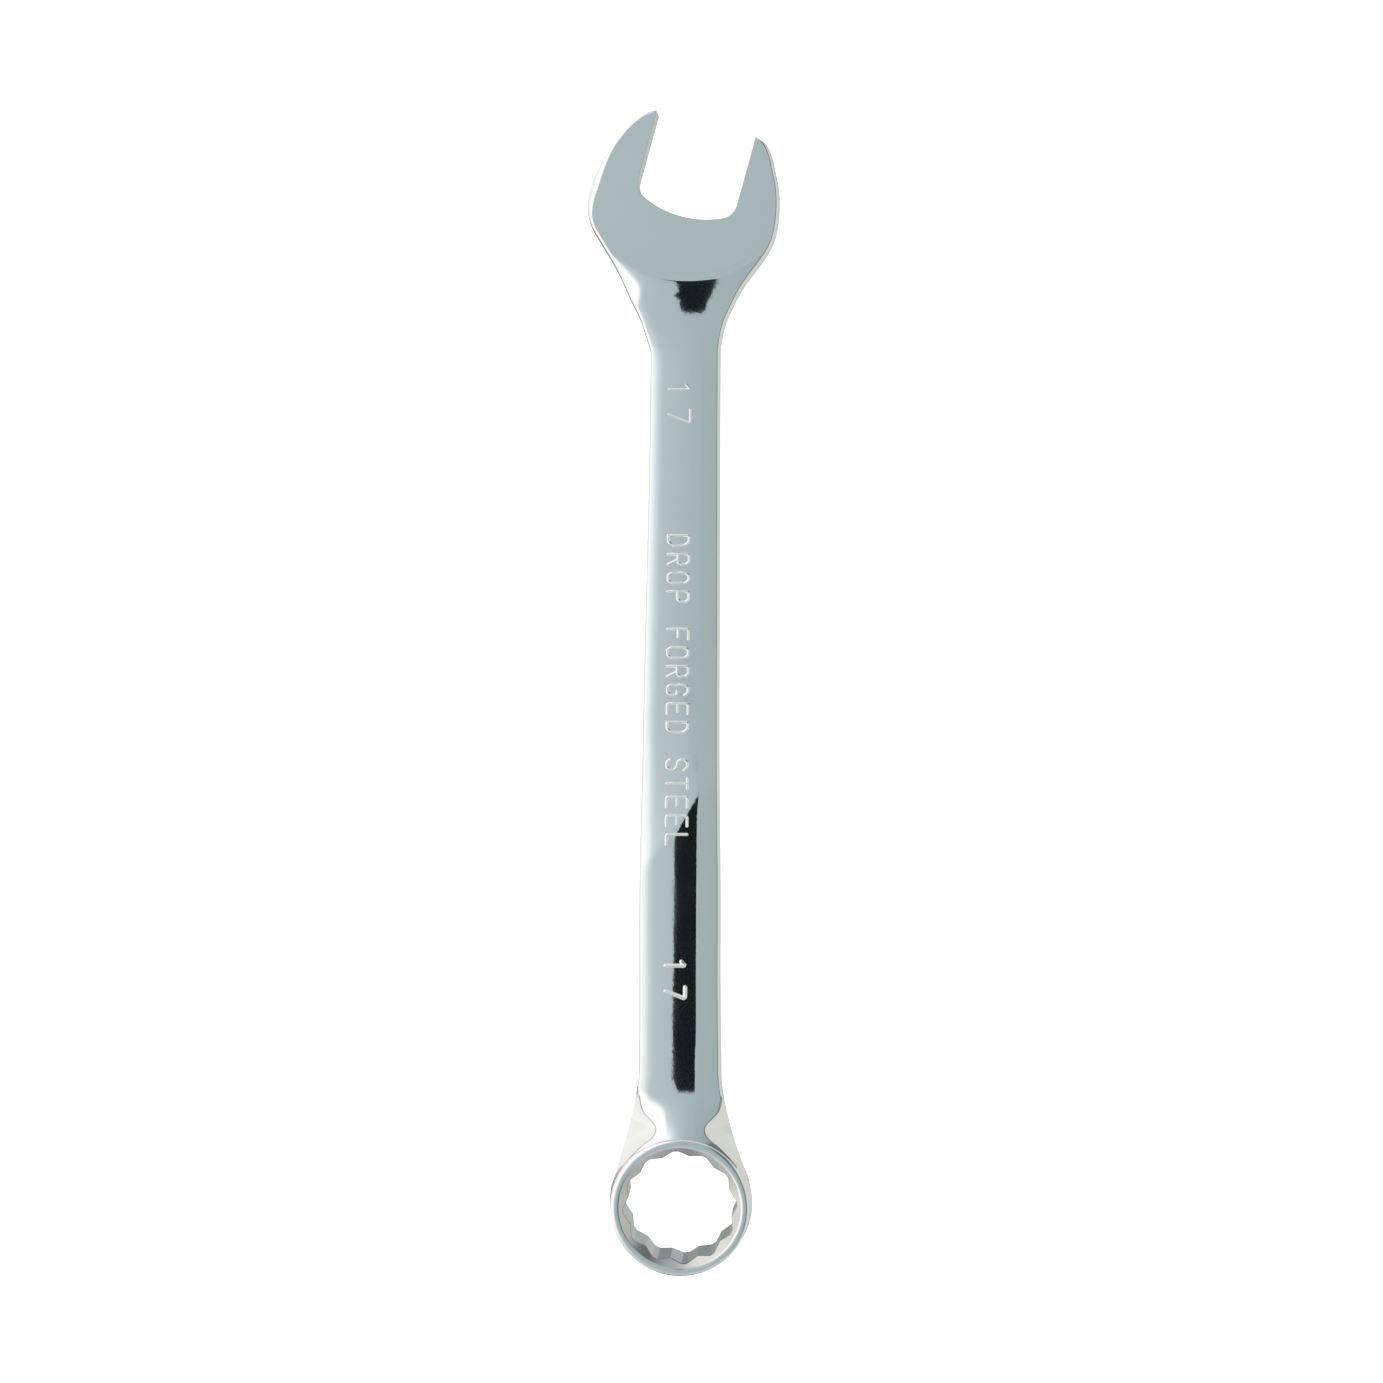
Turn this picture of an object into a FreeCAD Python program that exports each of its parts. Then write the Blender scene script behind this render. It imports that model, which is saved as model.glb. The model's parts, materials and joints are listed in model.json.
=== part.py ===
import FreeCAD, Part
import math
import os

# A 17 mm combination wrench: an open end turned 15 degrees and a twelve-point ring end.
# It is one drop forging, modelled as the forging's own regions, which meet face to face.
#
# Working frame while the shapes are made: the ring's centre is the origin, +Y runs along
# the shank to the open end, +X is to the right with the marked face up, and Z = 0 is the
# middle of the shank's thickness. place() then lays the wrench down as it rests on a bench
# and puts the origin at the centre of the bottom of its bounding box.

# Driving dimensions, mm and degrees
JAW_GAP = 17.2             # width between the jaw flats, for 17 mm nuts
JAW_ANGLE = 15.0           # turn of the jaw opening from the shank
JAW_CENTRE_Y = 171.25      # where the middle of the opening crosses the shank's axis
THROAT_DEPTH = 3.95        # throat bottom below that crossing
THROAT_RADIUS = 16.5
THROAT_CORNER_RADIUS = 3.1
JAW_DEPTH = 30.0           # how far past the crossing the opening's cutting tool reaches
JAW_TIP_RADIUS = 0.8
JAW_TIP_MIN_Y = 177.0      # the tips' upright edges lie beyond this
HEAD_TIP_Y = 185.0         # where the head's underside touches the bench
HEAD_HALF = 3.75           # half of the open head's thickness
SHANK_HALF = 2.8           # half of the shank's thickness

RING_RADIUS = 12.15        # at the forging's parting line
RING_HALF = 5.25           # half of the ring's thickness
RING_TILT = 7.5            # the ring's far side drops below the shank's line
RING_DRAFT_RADIUS = 11.8   # where the drafted side wall meets the rounded rim
RING_SHOULDER_Z = 4.63
RIM_TOP_RADIUS = 10.9
RIM_INNER_RADIUS = 10.35
RIM_INNER_Z = 5.17
LEAD_IN_RADIUS = 8.6
LEAD_IN_DEPTH = 1.35
SOCKET_FLATS = 17.1
SOCKET_CORNER_RADIUS = 9.62
SOCKET_TURN = 4.5

# Stations along the shank
NECK_END = 157.0           # the flat face of the open head starts here
NECK_START = 138.0         # the shank starts to rise to the open head here
NECK_CUT = 144.0           # the open end's neck is taken to start here
SWELL_START = 70.0         # the top face starts to rise to the ring here
SWELL_RADIUS = 982.0
SWELL_MID = 45.0
RING_NECK_START = 22.0
RING_NECK_MID = 17.0
RING_NECK_END = 3.0        # inside the ring
RISE_MID = (14.0, 5.0)     # a point (y, z) halfway up the rise to the ring's rim
RIM_MEET_Y = 11.3
RIM_MEET_Z = 6.2
UNDER_NECK_START = 28.0
UNDER_MEET_Y = 12.3
UNDER_MEET_Z = 3.75
FLARE_ANGLE = 17.8         # where the neck's flanks touch the ring, from +X

# The outline in plan, (x, y). A hand-finished forging is not quite symmetric.
LEFT_HEAD = [(-6.2, 144.0), (-6.95, 146.9), (-7.8, 149.5), (-9.2, 152.4), (-11.7, 157.7),
             (-14.9, 163.1), (-16.5, 166.0), (-17.1, 169.8), (-16.65, 172.6), (-15.55, 175.3),
             (-12.1, 180.8), (-10.3, 182.95), (-8.7, 184.35), (-7.5, 185.1), (-6.4, 185.5)]
RIGHT_HEAD = [(5.8, 144.0), (6.1, 146.9), (6.8, 149.6), (8.0, 152.3), (9.4, 155.0),
              (13.3, 160.4), (14.75, 163.1), (15.45, 166.0), (15.7, 169.8), (15.5, 172.6),
              (14.95, 175.3), (14.4, 177.7), (13.7, 179.35), (12.75, 180.55)]
LEFT_TIP_WAY = (1.0, 0.28)
RIGHT_TIP_WAY = (-1.0, 0.6)
TIP_REACH = 1.8            # each tip runs straight on past the jaw flat, before it is cut
LEFT_EDGE = [(-7.3, 22.0), (-7.3, 30.0), (-7.45, 55.0), (-7.2, 70.0), (-6.95, 88.0),
             (-6.45, 116.0), (-6.2, 144.0)]
RIGHT_EDGE = [(6.8, 22.0), (6.65, 30.0), (6.4, 55.0), (6.15, 70.0), (6.0, 88.0),
              (5.9, 116.0), (5.8, 144.0)]
LEFT_FLANK = [(-7.3, 22.0), (-7.7, 18.9), (-8.35, 15.3), (-9.35, 11.2), (-10.55, 7.1),
              (-11.57, 3.71)]
RIGHT_FLANK = [(6.8, 22.0), (7.1, 18.9), (7.8, 15.3), (8.9, 11.2), (10.3, 7.1), (11.57, 3.71)]

# The scoops that waist the ring neck's top face, one on each side: the edge of the right
# one in plan, and the plane that it slopes down along
WAIST = [(11.2, 4.0), (8.7, 7.9), (6.0, 10.2), (4.6, 11.1), (4.05, 12.0), (3.95, 12.7),
         (4.2, 13.4), (4.7, 14.0), (5.4, 14.7), (6.0, 15.4), (6.4, 16.3), (6.75, 18.0),
         (7.4, 19.5), (8.5, 20.5)]
WAIST_START_WAY = (-0.5, 0.9)
WAIST_END_WAY = (1.0, 0.6)
WAIST_TOP_X = 4.0
WAIST_TOP_Z = 5.2
WAIST_SLOPE = 41.0
WAIST_FLOOR_Z = 1.0

# Raised marks: they read from the open end to the ring, their tops towards +X
MARK_BASE_X = -3.1
MARK_HEIGHT = 4.1
MARK_RELIEF = 0.3
OPEN_NUMBER_STROKE = 0.5
RING_NUMBER_STROKE = 0.78
NUMBER_WIDTH = 2.7
NUMBER_PITCH = 4.6
LEGEND_STROKE = 0.45
MARK_ROOT = 1.0            # the marks' strokes are made from this far under the face
LEGEND_WIDTH = 2.3
LEGEND_PITCH = 3.17
OPEN_NUMBER_Y = 139.4
LEGEND_Y = 113.5
RING_NUMBER_Y = 41.6
LEGEND = "DROP FORGED STEEL"

REACH = 40.0               # larger than any half-width, for cutting tools
UPRIGHT_TOLERANCE = 0.01
X_AXIS = FreeCAD.Vector(1, 0, 0)
Y_AXIS = FreeCAD.Vector(0, 1, 0)
Z_AXIS = FreeCAD.Vector(0, 0, 1)
ORIGIN = FreeCAD.Vector(0, 0, 0)

# Glyph strokes on a grid 2 wide and 3 high, as polylines
GLYPHS = {
    "1": [[(0.3, 2.4), (1.0, 3.0), (1.0, 0.0)]],
    "7": [[(0.0, 3.0), (2.0, 3.0), (0.7, 0.0)]],
    "D": [[(0, 0), (0, 3), (1.3, 3), (2, 2.3), (2, 0.7), (1.3, 0), (0, 0)]],
    "E": [[(2, 3), (0, 3), (0, 0), (2, 0)], [(0, 1.5), (1.6, 1.5)]],
    "F": [[(2, 3), (0, 3), (0, 0)], [(0, 1.5), (1.6, 1.5)]],
    "G": [[(2, 2.5), (1.5, 3), (0.5, 3), (0, 2.5), (0, 0.5), (0.5, 0), (1.5, 0), (2, 0.5),
           (2, 1.4), (1.2, 1.4)]],
    "L": [[(0, 3), (0, 0), (2, 0)]],
    "O": [[(0.5, 0), (1.5, 0), (2, 0.5), (2, 2.5), (1.5, 3), (0.5, 3), (0, 2.5), (0, 0.5),
           (0.5, 0)]],
    "P": [[(0, 0), (0, 3), (1.5, 3), (2, 2.6), (2, 1.8), (1.5, 1.4), (0, 1.4)]],
    "R": [[(0, 0), (0, 3), (1.5, 3), (2, 2.6), (2, 1.8), (1.5, 1.4), (0, 1.4)],
          [(1.1, 1.4), (2, 0)]],
    "S": [[(2, 2.5), (1.5, 3), (0.5, 3), (0, 2.5), (0, 2.0), (0.5, 1.55), (1.5, 1.45),
           (2, 1.0), (2, 0.5), (1.5, 0), (0.5, 0), (0, 0.5)]],
    "T": [[(0, 3), (2, 3)], [(1, 3), (1, 0)]],
}


def vec(x, y, z=0.0):
    return FreeCAD.Vector(x, y, z)


def line(a, b):
    return Part.LineSegment(a, b).toShape()


def arc(a, b, c):
    return Part.Arc(a, b, c).toShape()


def spline(points, start_tangent, end_tangent):
    """A smooth curve through the points."""
    curve = Part.BSplineCurve()
    curve.interpolate(Points=points, InitialTangent=start_tangent, FinalTangent=end_tangent)
    return curve.toShape()


def prism(edges, direction):
    """The solid swept by a closed outline along a direction."""
    return Part.Face(Part.Wire(edges)).extrude(direction)


def jaw_point(across, along, z):
    """A point in the jaw opening's own frame: across the flats, and out along the opening."""
    turn = math.radians(JAW_ANGLE)
    x = across * math.cos(turn) + along * math.sin(turn)
    y = JAW_CENTRE_Y - across * math.sin(turn) + along * math.cos(turn)
    return vec(x, y, z)


def top_height(y):
    """The shank's top face: flat, then swelling gently towards the ring."""
    run = max(0.0, SWELL_START - y)
    return SHANK_HALF + run * run / (2 * SWELL_RADIUS)


def flat_spline(points, z, start, end):
    """A smooth curve through plan points, at a height, with given end directions."""
    return spline([vec(x, y, z) for x, y in points], vec(*start), vec(*end))


def plan_outline(z):
    """The whole bar seen from above, from inside the ring to the jaw tips."""
    lean = math.tan(math.radians(FLARE_ANGLE))
    along = (0.0, 1.0)
    edges = []
    tips = []
    for side, head, edge, flank, way in ((-1, LEFT_HEAD, LEFT_EDGE, LEFT_FLANK, LEFT_TIP_WAY),
                                         (1, RIGHT_HEAD, RIGHT_EDGE, RIGHT_FLANK, RIGHT_TIP_WAY)):
        edges.append(flat_spline(head, z, along, way))
        edges.append(flat_spline(edge, z, along, along))
        edges.append(flat_spline(flank, z, (0.0, -1.0), (side * lean, -1.0)))
        tip = vec(*head[-1], z)
        past = tip + vec(*way).normalize() * TIP_REACH
        edges.append(line(tip, past))
        tips.append(past)
    edges.append(line(tips[0], tips[1]))
    edges.append(line(vec(*LEFT_FLANK[-1], z), vec(*RIGHT_FLANK[-1], z)))
    return Part.__sortEdges__(edges)


def side_outline(x):
    """The bar's thickness seen from the side."""
    far = JAW_CENTRE_Y + REACH
    mid_rise = 0.5 * (NECK_START + NECK_END)
    rise = (HEAD_HALF - SHANK_HALF) / 4
    neck_top = top_height(RING_NECK_MID)
    fall = math.tan(math.radians(RING_TILT))
    end_top = RIM_MEET_Z - fall * (RIM_MEET_Y - RING_NECK_END)
    end_under = UNDER_MEET_Z + fall * (UNDER_MEET_Y - RING_NECK_END)

    def at(y, z):
        return vec(x, y, z)

    edges = [line(at(far, HEAD_HALF), at(NECK_END, HEAD_HALF)),
             arc(at(NECK_END, HEAD_HALF), at(mid_rise, SHANK_HALF + rise), at(NECK_START, SHANK_HALF)),
             line(at(NECK_START, SHANK_HALF), at(SWELL_START, SHANK_HALF)),
             arc(at(SWELL_START, SHANK_HALF), at(SWELL_MID, top_height(SWELL_MID)),
                 at(RING_NECK_MID, neck_top)),
             arc(at(RING_NECK_MID, neck_top), at(*RISE_MID), at(RIM_MEET_Y, RIM_MEET_Z)),
             line(at(RIM_MEET_Y, RIM_MEET_Z), at(RING_NECK_END, end_top)),
             line(at(RING_NECK_END, end_top), at(RING_NECK_END, -end_under)),
             line(at(RING_NECK_END, -end_under), at(UNDER_MEET_Y, -UNDER_MEET_Z)),
             line(at(UNDER_MEET_Y, -UNDER_MEET_Z), at(UNDER_NECK_START, -SHANK_HALF)),
             line(at(UNDER_NECK_START, -SHANK_HALF), at(NECK_START, -SHANK_HALF)),
             arc(at(NECK_START, -SHANK_HALF), at(mid_rise, -SHANK_HALF - rise), at(NECK_END, -HEAD_HALF)),
             line(at(NECK_END, -HEAD_HALF), at(far, -HEAD_HALF)),
             line(at(far, -HEAD_HALF), at(far, HEAD_HALF))]
    return edges


def bar():
    """Head, necks and shank in one, before they are divided."""
    plan = prism(plan_outline(-REACH), vec(0, 0, 2 * REACH))
    side = prism(side_outline(-REACH), vec(2 * REACH, 0, 0))
    return plan.common(side)


def between(solid, y_low, y_high):
    """The stretch of a solid between two stations."""
    slab = Part.makeBox(2 * REACH, y_high - y_low, 2 * REACH, vec(-REACH, y_low, -REACH))
    return solid.common(slab)


def jaw_opening():
    """The space between the jaws: two flats and a round throat with small corner radii."""
    half = JAW_GAP / 2
    centre_v = THROAT_RADIUS - THROAT_DEPTH
    r = THROAT_CORNER_RADIUS
    corner_u = half - r
    reach = THROAT_RADIUS - r
    corner_v = centre_v - math.sqrt(reach * reach - corner_u * corner_u)
    lean = math.atan2(corner_u, centre_v - corner_v)
    touch_u = THROAT_RADIUS * math.sin(lean)
    touch_v = centre_v - THROAT_RADIUS * math.cos(lean)
    mid = lean / 2 + math.pi / 4
    mid_u = corner_u + r * math.sin(mid)
    mid_v = corner_v - r * math.cos(mid)
    z = -REACH

    def at(u, v):
        return jaw_point(u, v, z)

    edges = [line(at(-half, JAW_DEPTH), at(-half, corner_v)),
             arc(at(-half, corner_v), at(-mid_u, mid_v), at(-touch_u, touch_v)),
             arc(at(-touch_u, touch_v), at(0, -THROAT_DEPTH), at(touch_u, touch_v)),
             arc(at(touch_u, touch_v), at(mid_u, mid_v), at(half, corner_v)),
             line(at(half, corner_v), at(half, JAW_DEPTH)),
             line(at(half, JAW_DEPTH), at(-half, JAW_DEPTH))]
    return prism(edges, vec(0, 0, 2 * REACH))


def flat_distance(point):
    """How far a point lies outside the nearer of the two jaw flats."""
    turn = math.radians(JAW_ANGLE)
    across = point.x * math.cos(turn) - (point.y - JAW_CENTRE_Y) * math.sin(turn)
    return abs(across) - JAW_GAP / 2


def round_jaw_tips(head):
    """Rounds the upright edge where each jaw flat meets its tip."""
    tips = []
    for edge in head.Edges:
        box = edge.BoundBox
        plan_size = max(box.XLength, box.YLength)
        upright = plan_size < UPRIGHT_TOLERANCE and box.ZLength > HEAD_HALF
        at_flat = abs(flat_distance(box.Center)) < UPRIGHT_TOLERANCE
        if upright and at_flat and box.Center.y > JAW_TIP_MIN_Y:
            tips.append(edge)
    return head.makeFillet(JAW_TIP_RADIUS, tips)


def open_end_head(whole):
    head = between(whole, NECK_END, JAW_CENTRE_Y + REACH).cut(jaw_opening())
    return round_jaw_tips(head)


def open_end_neck(whole):
    return between(whole, NECK_CUT, NECK_END)


def shank(whole):
    return between(whole, RING_NECK_START, NECK_CUT)


def tilt(shape):
    """Tilts a shape made in the ring's own frame into the working frame."""
    shape.rotate(ORIGIN, X_AXIS, RING_TILT)
    return shape


def ring_envelope():
    """The ring with no socket: drafted walls and a rounded rim, revolved about its axis."""
    def at(r, z):
        return vec(r, 0, z)

    top = RING_HALF
    edges = [line(at(0, -RIM_INNER_Z), at(0, RIM_INNER_Z)),
             line(at(0, RIM_INNER_Z), at(RIM_INNER_RADIUS, RIM_INNER_Z)),
             arc(at(RIM_INNER_RADIUS, RIM_INNER_Z), at(RIM_TOP_RADIUS, top),
                 at(RING_DRAFT_RADIUS, RING_SHOULDER_Z)),
             line(at(RING_DRAFT_RADIUS, RING_SHOULDER_Z), at(RING_RADIUS, 0)),
             line(at(RING_RADIUS, 0), at(RING_DRAFT_RADIUS, -RING_SHOULDER_Z)),
             arc(at(RING_DRAFT_RADIUS, -RING_SHOULDER_Z), at(RIM_TOP_RADIUS, -top),
                 at(RIM_INNER_RADIUS, -RIM_INNER_Z)),
             line(at(RIM_INNER_RADIUS, -RIM_INNER_Z), at(0, -RIM_INNER_Z))]
    return Part.Face(Part.Wire(edges)).revolve(ORIGIN, Z_AXIS, 360)


def hexagon_prism(flats, turn):
    radius = flats / 2 / math.cos(math.pi / 6)
    corners = []
    for k in range(6):
        a = math.radians(turn + 60 * k)
        corners.append(vec(radius * math.cos(a), radius * math.sin(a), -REACH))
    wire = Part.makePolygon(corners + [corners[0]])
    return Part.Face(wire).extrude(vec(0, 0, 2 * REACH))


def twelve_point_socket():
    """Two hexagons 30 degrees apart, their corners eased by a round bore."""
    star = hexagon_prism(SOCKET_FLATS, SOCKET_TURN).fuse(hexagon_prism(SOCKET_FLATS, SOCKET_TURN + 30))
    bore = Part.makeCylinder(SOCKET_CORNER_RADIUS, 2 * REACH, vec(0, 0, -REACH))
    return star.common(bore).removeSplitter()


def lead_in(direction):
    """The countersink that guides a bolt head into the socket, on one face."""
    wide_z = RIM_INNER_Z * direction
    start = vec(0, 0, wide_z)
    inward = vec(0, 0, -direction)
    return Part.makeCone(RIM_INNER_RADIUS, LEAD_IN_RADIUS, LEAD_IN_DEPTH, start, inward)


def ring_head():
    ring = ring_envelope().cut(twelve_point_socket())
    for direction in (1, -1):
        ring = ring.cut(lead_in(direction))
    return tilt(ring)


def waist_scoop(side):
    """One sloping scoop that narrows the ring neck's top face from the side."""
    def at(x, y):
        return vec(side * x, y, WAIST_FLOOR_Z)

    start_x, start_y = WAIST_START_WAY
    end_x, end_y = WAIST_END_WAY
    curve = spline([at(*p) for p in WAIST], vec(side * start_x, start_y), vec(side * end_x, end_y))
    low_y, high_y = WAIST[0][1], WAIST[-1][1]
    edges = [curve, line(at(*WAIST[-1]), at(REACH, high_y)),
             line(at(REACH, high_y), at(REACH, low_y)), line(at(REACH, low_y), at(*WAIST[0]))]
    above = Part.makeBox(2 * REACH, 2 * REACH, REACH, vec(-REACH, -REACH, 0))
    above.rotate(ORIGIN, Y_AXIS, side * WAIST_SLOPE)
    above.translate(vec(side * WAIST_TOP_X, 0, WAIST_TOP_Z))
    return prism(edges, vec(0, 0, REACH)).common(above)


def ring_neck(whole):
    inside_rim = Part.makeCylinder(RIM_TOP_RADIUS, 2 * REACH, vec(0, 0, -REACH))
    neck = between(whole, 0, RING_NECK_START).cut(tilt(ring_envelope().fuse(inside_rim)))
    for side in (-1, 1):
        neck = neck.cut(waist_scoop(side))
    return max(neck.Solids, key=lambda piece: piece.Volume)


def stroke(a, b, width, z_low, z_high):
    """One raised stroke with round ends."""
    along = b - a
    height = z_high - z_low
    half = width / 2
    bar_box = Part.makeBox(along.Length, width, height, vec(0, -half, z_low))
    bar_box.rotate(ORIGIN, Z_AXIS, math.degrees(math.atan2(along.y, along.x)))
    bar_box.translate(a)
    ends = [Part.makeCylinder(half, height, vec(p.x, p.y, z_low)) for p in (a, b)]
    return [bar_box] + ends


def glyph(letter, y_start, width, stroke_width):
    """One raised letter or figure. It starts at y_start and reads towards the ring."""
    z_high = top_height(y_start - width / 2) + MARK_RELIEF
    z_low = SHANK_HALF - MARK_ROOT
    inner_width = width - stroke_width
    inner_height = MARK_HEIGHT - stroke_width
    pieces = []
    for polyline in GLYPHS[letter]:
        points = []
        for across, up in polyline:
            x = MARK_BASE_X + stroke_width / 2 + inner_height * up / 3
            y = y_start - stroke_width / 2 - inner_width * across / 2
            points.append(vec(x, y, 0))
        for a, b in zip(points, points[1:]):
            pieces += stroke(a, b, stroke_width, z_low, z_high)
    return pieces[0].fuse(pieces[1:]).removeSplitter()


def marks(text, y_start, width, pitch, stroke_width, base):
    """Raised marks as separate solids that sit on the shank's face."""
    solids = []
    for place_number, letter in enumerate(text):
        if letter in GLYPHS:
            shape = glyph(letter, y_start - place_number * pitch, width, stroke_width)
            solids += shape.cut(base).Solids
    return Part.makeCompound(solids)


def rest_pitch():
    """The small angle at which the wrench lies with its ring and open head both down."""
    turn = math.radians(RING_TILT)
    low_z = RIM_TOP_RADIUS * math.sin(turn) + RING_HALF * math.cos(turn)
    low_y = -RIM_TOP_RADIUS * math.cos(turn) + RING_HALF * math.sin(turn)
    return math.degrees(math.atan2(low_z - HEAD_HALF, HEAD_TIP_Y - low_y))


def place(nodes):
    """Lays the wrench down and moves the origin to the bottom centre of its box."""
    for shape in nodes.values():
        shape.rotate(ORIGIN, X_AXIS, -rest_pitch())
    box = FreeCAD.BoundBox()
    for shape in nodes.values():
        box.add(shape.optimalBoundingBox())
    shift = vec(-box.Center.x, -box.Center.y, -box.ZMin)
    for shape in nodes.values():
        shape.translate(shift)
    print("pitch", round(rest_pitch(), 3), "shift", [round(v, 3) for v in shift])
    print("overall", round(box.XLength, 2), round(box.YLength, 2), round(box.ZLength, 2))


def build():
    whole = bar()
    middle = shank(whole)
    nodes = {
        "open_end_head": open_end_head(whole),
        "open_end_neck": open_end_neck(whole),
        "shank": middle,
        "ring_neck": ring_neck(whole),
        "ring_head": ring_head(),
        "size_mark_open_end": marks("17", OPEN_NUMBER_Y, NUMBER_WIDTH, NUMBER_PITCH,
                                    OPEN_NUMBER_STROKE, whole),
        "raised_legend": marks(LEGEND, LEGEND_Y, LEGEND_WIDTH, LEGEND_PITCH,
                               LEGEND_STROKE, whole),
        "size_mark_ring_end": marks("17", RING_NUMBER_Y, NUMBER_WIDTH, NUMBER_PITCH,
                                    RING_NUMBER_STROKE, whole),
    }
    place(nodes)
    os.makedirs("parts", exist_ok=True)
    for name, shape in nodes.items():
        shape.exportStep(f"parts/{name}.step")
        print(name, "valid", shape.isValid(), "solids", len(shape.Solids),
              "volume", round(shape.Volume, 1))


build()
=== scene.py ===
import json
import math

import bpy
import numpy as np
from mathutils import Matrix, Vector
from mathutils.geometry import delaunay_2d_cdt


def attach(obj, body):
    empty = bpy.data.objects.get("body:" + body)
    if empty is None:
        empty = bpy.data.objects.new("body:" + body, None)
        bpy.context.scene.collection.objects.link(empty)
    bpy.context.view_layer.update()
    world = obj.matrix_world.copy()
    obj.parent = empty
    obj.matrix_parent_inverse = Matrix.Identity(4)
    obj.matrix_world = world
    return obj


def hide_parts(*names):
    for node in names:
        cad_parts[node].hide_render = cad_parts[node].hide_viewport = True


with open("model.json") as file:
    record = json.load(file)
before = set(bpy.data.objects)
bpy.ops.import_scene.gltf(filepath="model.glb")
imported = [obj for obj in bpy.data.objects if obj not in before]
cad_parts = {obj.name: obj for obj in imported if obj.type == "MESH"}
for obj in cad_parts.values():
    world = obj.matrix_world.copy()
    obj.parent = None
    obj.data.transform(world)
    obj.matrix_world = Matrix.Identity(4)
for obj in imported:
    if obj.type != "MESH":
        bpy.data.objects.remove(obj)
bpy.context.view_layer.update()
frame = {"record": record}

MM = 0.001

# The forging's own frame, in mm: the ring's centre is the origin, +Y runs along the shank
# to the open end, +Z out of the marked face. The record's mounts say where it lies.
mounts = {m["name"]: m for m in frame["record"]["mounts"]}
UP = Vector(mounts["head_face"]["axis"]).normalized()
ALONG = UP.cross(Vector((1, 0, 0))).normalized()
ACROSS = ALONG.cross(UP)
RING_CENTRE = Vector(mounts["ring_socket"]["pos_m"])
LIE = Matrix((ACROSS, ALONG, UP)).transposed()
ring_axis = LIE.transposed() @ Vector(mounts["ring_socket"]["axis"])
RING_TILT = math.atan2(-ring_axis.y, ring_axis.z)

# Open end
HEAD_HALF = 3.75
JAW_HALF_GAP = 8.6
JAW_ANGLE = math.radians(15)
JAW_CENTRE_Y = 171.25
THROAT_DEPTH = 3.95
THROAT_RADIUS = 16.5
THROAT_CORNER = 3.1
# The outline in plan, (x, y). A hand-finished forging is not quite symmetric.
LEFT_OUTLINE = [(-6.2, 144.0), (-6.95, 146.9), (-7.8, 149.5), (-9.2, 152.4), (-11.7, 157.7),
                (-14.9, 163.1), (-16.5, 166.0), (-17.1, 169.8), (-16.65, 172.6), (-15.55, 175.3),
                (-12.1, 180.8), (-10.3, 182.95), (-8.7, 184.35), (-7.5, 185.1), (-6.4, 185.5)]
RIGHT_OUTLINE = [(5.8, 144.0), (6.1, 146.9), (6.8, 149.6), (8.0, 152.3), (9.4, 155.0),
                 (13.3, 160.4), (14.75, 163.1), (15.45, 166.0), (15.7, 169.8), (15.5, 172.6),
                 (14.95, 175.3), (14.4, 177.7), (13.7, 179.35), (12.75, 180.55)]
LEFT_EDGE = [(-7.3, 22.0), (-7.3, 30.0), (-7.45, 55.0), (-7.2, 70.0), (-6.95, 88.0),
             (-6.45, 116.0), (-6.2, 144.0)]
RIGHT_EDGE = [(6.8, 22.0), (6.65, 30.0), (6.4, 55.0), (6.15, 70.0), (6.0, 88.0),
              (5.9, 116.0), (5.8, 144.0)]
LEFT_FLANK = [(-7.3, 22.0), (-7.7, 18.9), (-8.35, 15.3), (-9.35, 11.2), (-10.55, 7.1),
              (-11.57, 3.71)]
RIGHT_FLANK = [(6.8, 22.0), (7.1, 18.9), (7.8, 15.3), (8.9, 11.2), (10.3, 7.1), (11.57, 3.71)]
TIP_START_LEFT = 11.9       # along the jaw flats, where each tip's rounding ends
TIP_START_RIGHT = 12.1
CREASE_Y = 156.5            # the flat head face starts at this curve, y = a + b x^2 + c x^4
CREASE_B = 0.0175
CREASE_C = 6.0e-5
RISE_LENGTH = 15.9          # the shank rises to the head over this length
RISE_HEIGHT = 0.77
LIFT_START = 90.0           # the rest of the head's extra height comes slowly along the shank
LIFT_LENGTH = 50.0
LEFT_TIP_WAY = (1.0, 0.28)
RIGHT_TIP_WAY = (-1.0, 0.6)
HEAD_ROLL = 1.15            # extra rounding on the head's left shoulder
HEAD_ROLL_EASE = 9.0
HEAD_ROLL_END_Y = 181.0
HEAD_ROLL_MAX_X = -10.0     # only the left side's outline lies beyond this
BROKEN_EDGE = 0.16          # small edge break where the jaw flats were cut

# Shank
SHANK_HALF = 2.8
SHANK_TOP_Y = 144.0
SHANK_LOW_Y = 22.0
SWELL_START = 70.0
SWELL_RADIUS = 982.0
FOOT_START = 21.8           # near the ring the face starts to lift here
FOOT_CURVE = 0.0059
PASS_START = 66.5           # the grinder's last pass left the face falling from here
PASS_END = 90.0             # to here
PASS_EASE = 3.0             # the fall eases in over this length before it
PASS_SLOPE = 0.0215
PASS_SKEW = 1.2             # the pass crosses the shank slantwise
CROWN_SLOPE = 0.0080        # how fast the face turns away on each side of its high line, per mm
HIGH_LINE_X = 0.75
NECK_HIGH_LINE_X = 1.45     # the high line moves over to here at the open end's neck
NECK_CROWN_START = 141.0
NECK_CROWN_EASE = 9.0
NECK_CROWN_SLOPE = 0.0048   # near the head, where it also flattens out again
NECK_CROWN_REACH = 5.5
NECK_CROWN_RIGHT = 0.75     # how much of the neck's crown there is right of the high line
RIDGE_X = 2.6               # a soft ridge left by the polishing belt
RIDGE_TURN = 0.038
RIDGE_WIDTH = 0.35
RIDGE_END = 150.0
RIDGE_EASE = 14.0
ROLL_WIDTH = 2.6            # the face rolls over towards the left edge all along the shank
ROLL_SLOPE = 0.09
WEDGE_START = 150.0         # and far more at the open neck, where the roll widens to a wedge
WEDGE_LENGTH = 6.5
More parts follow.
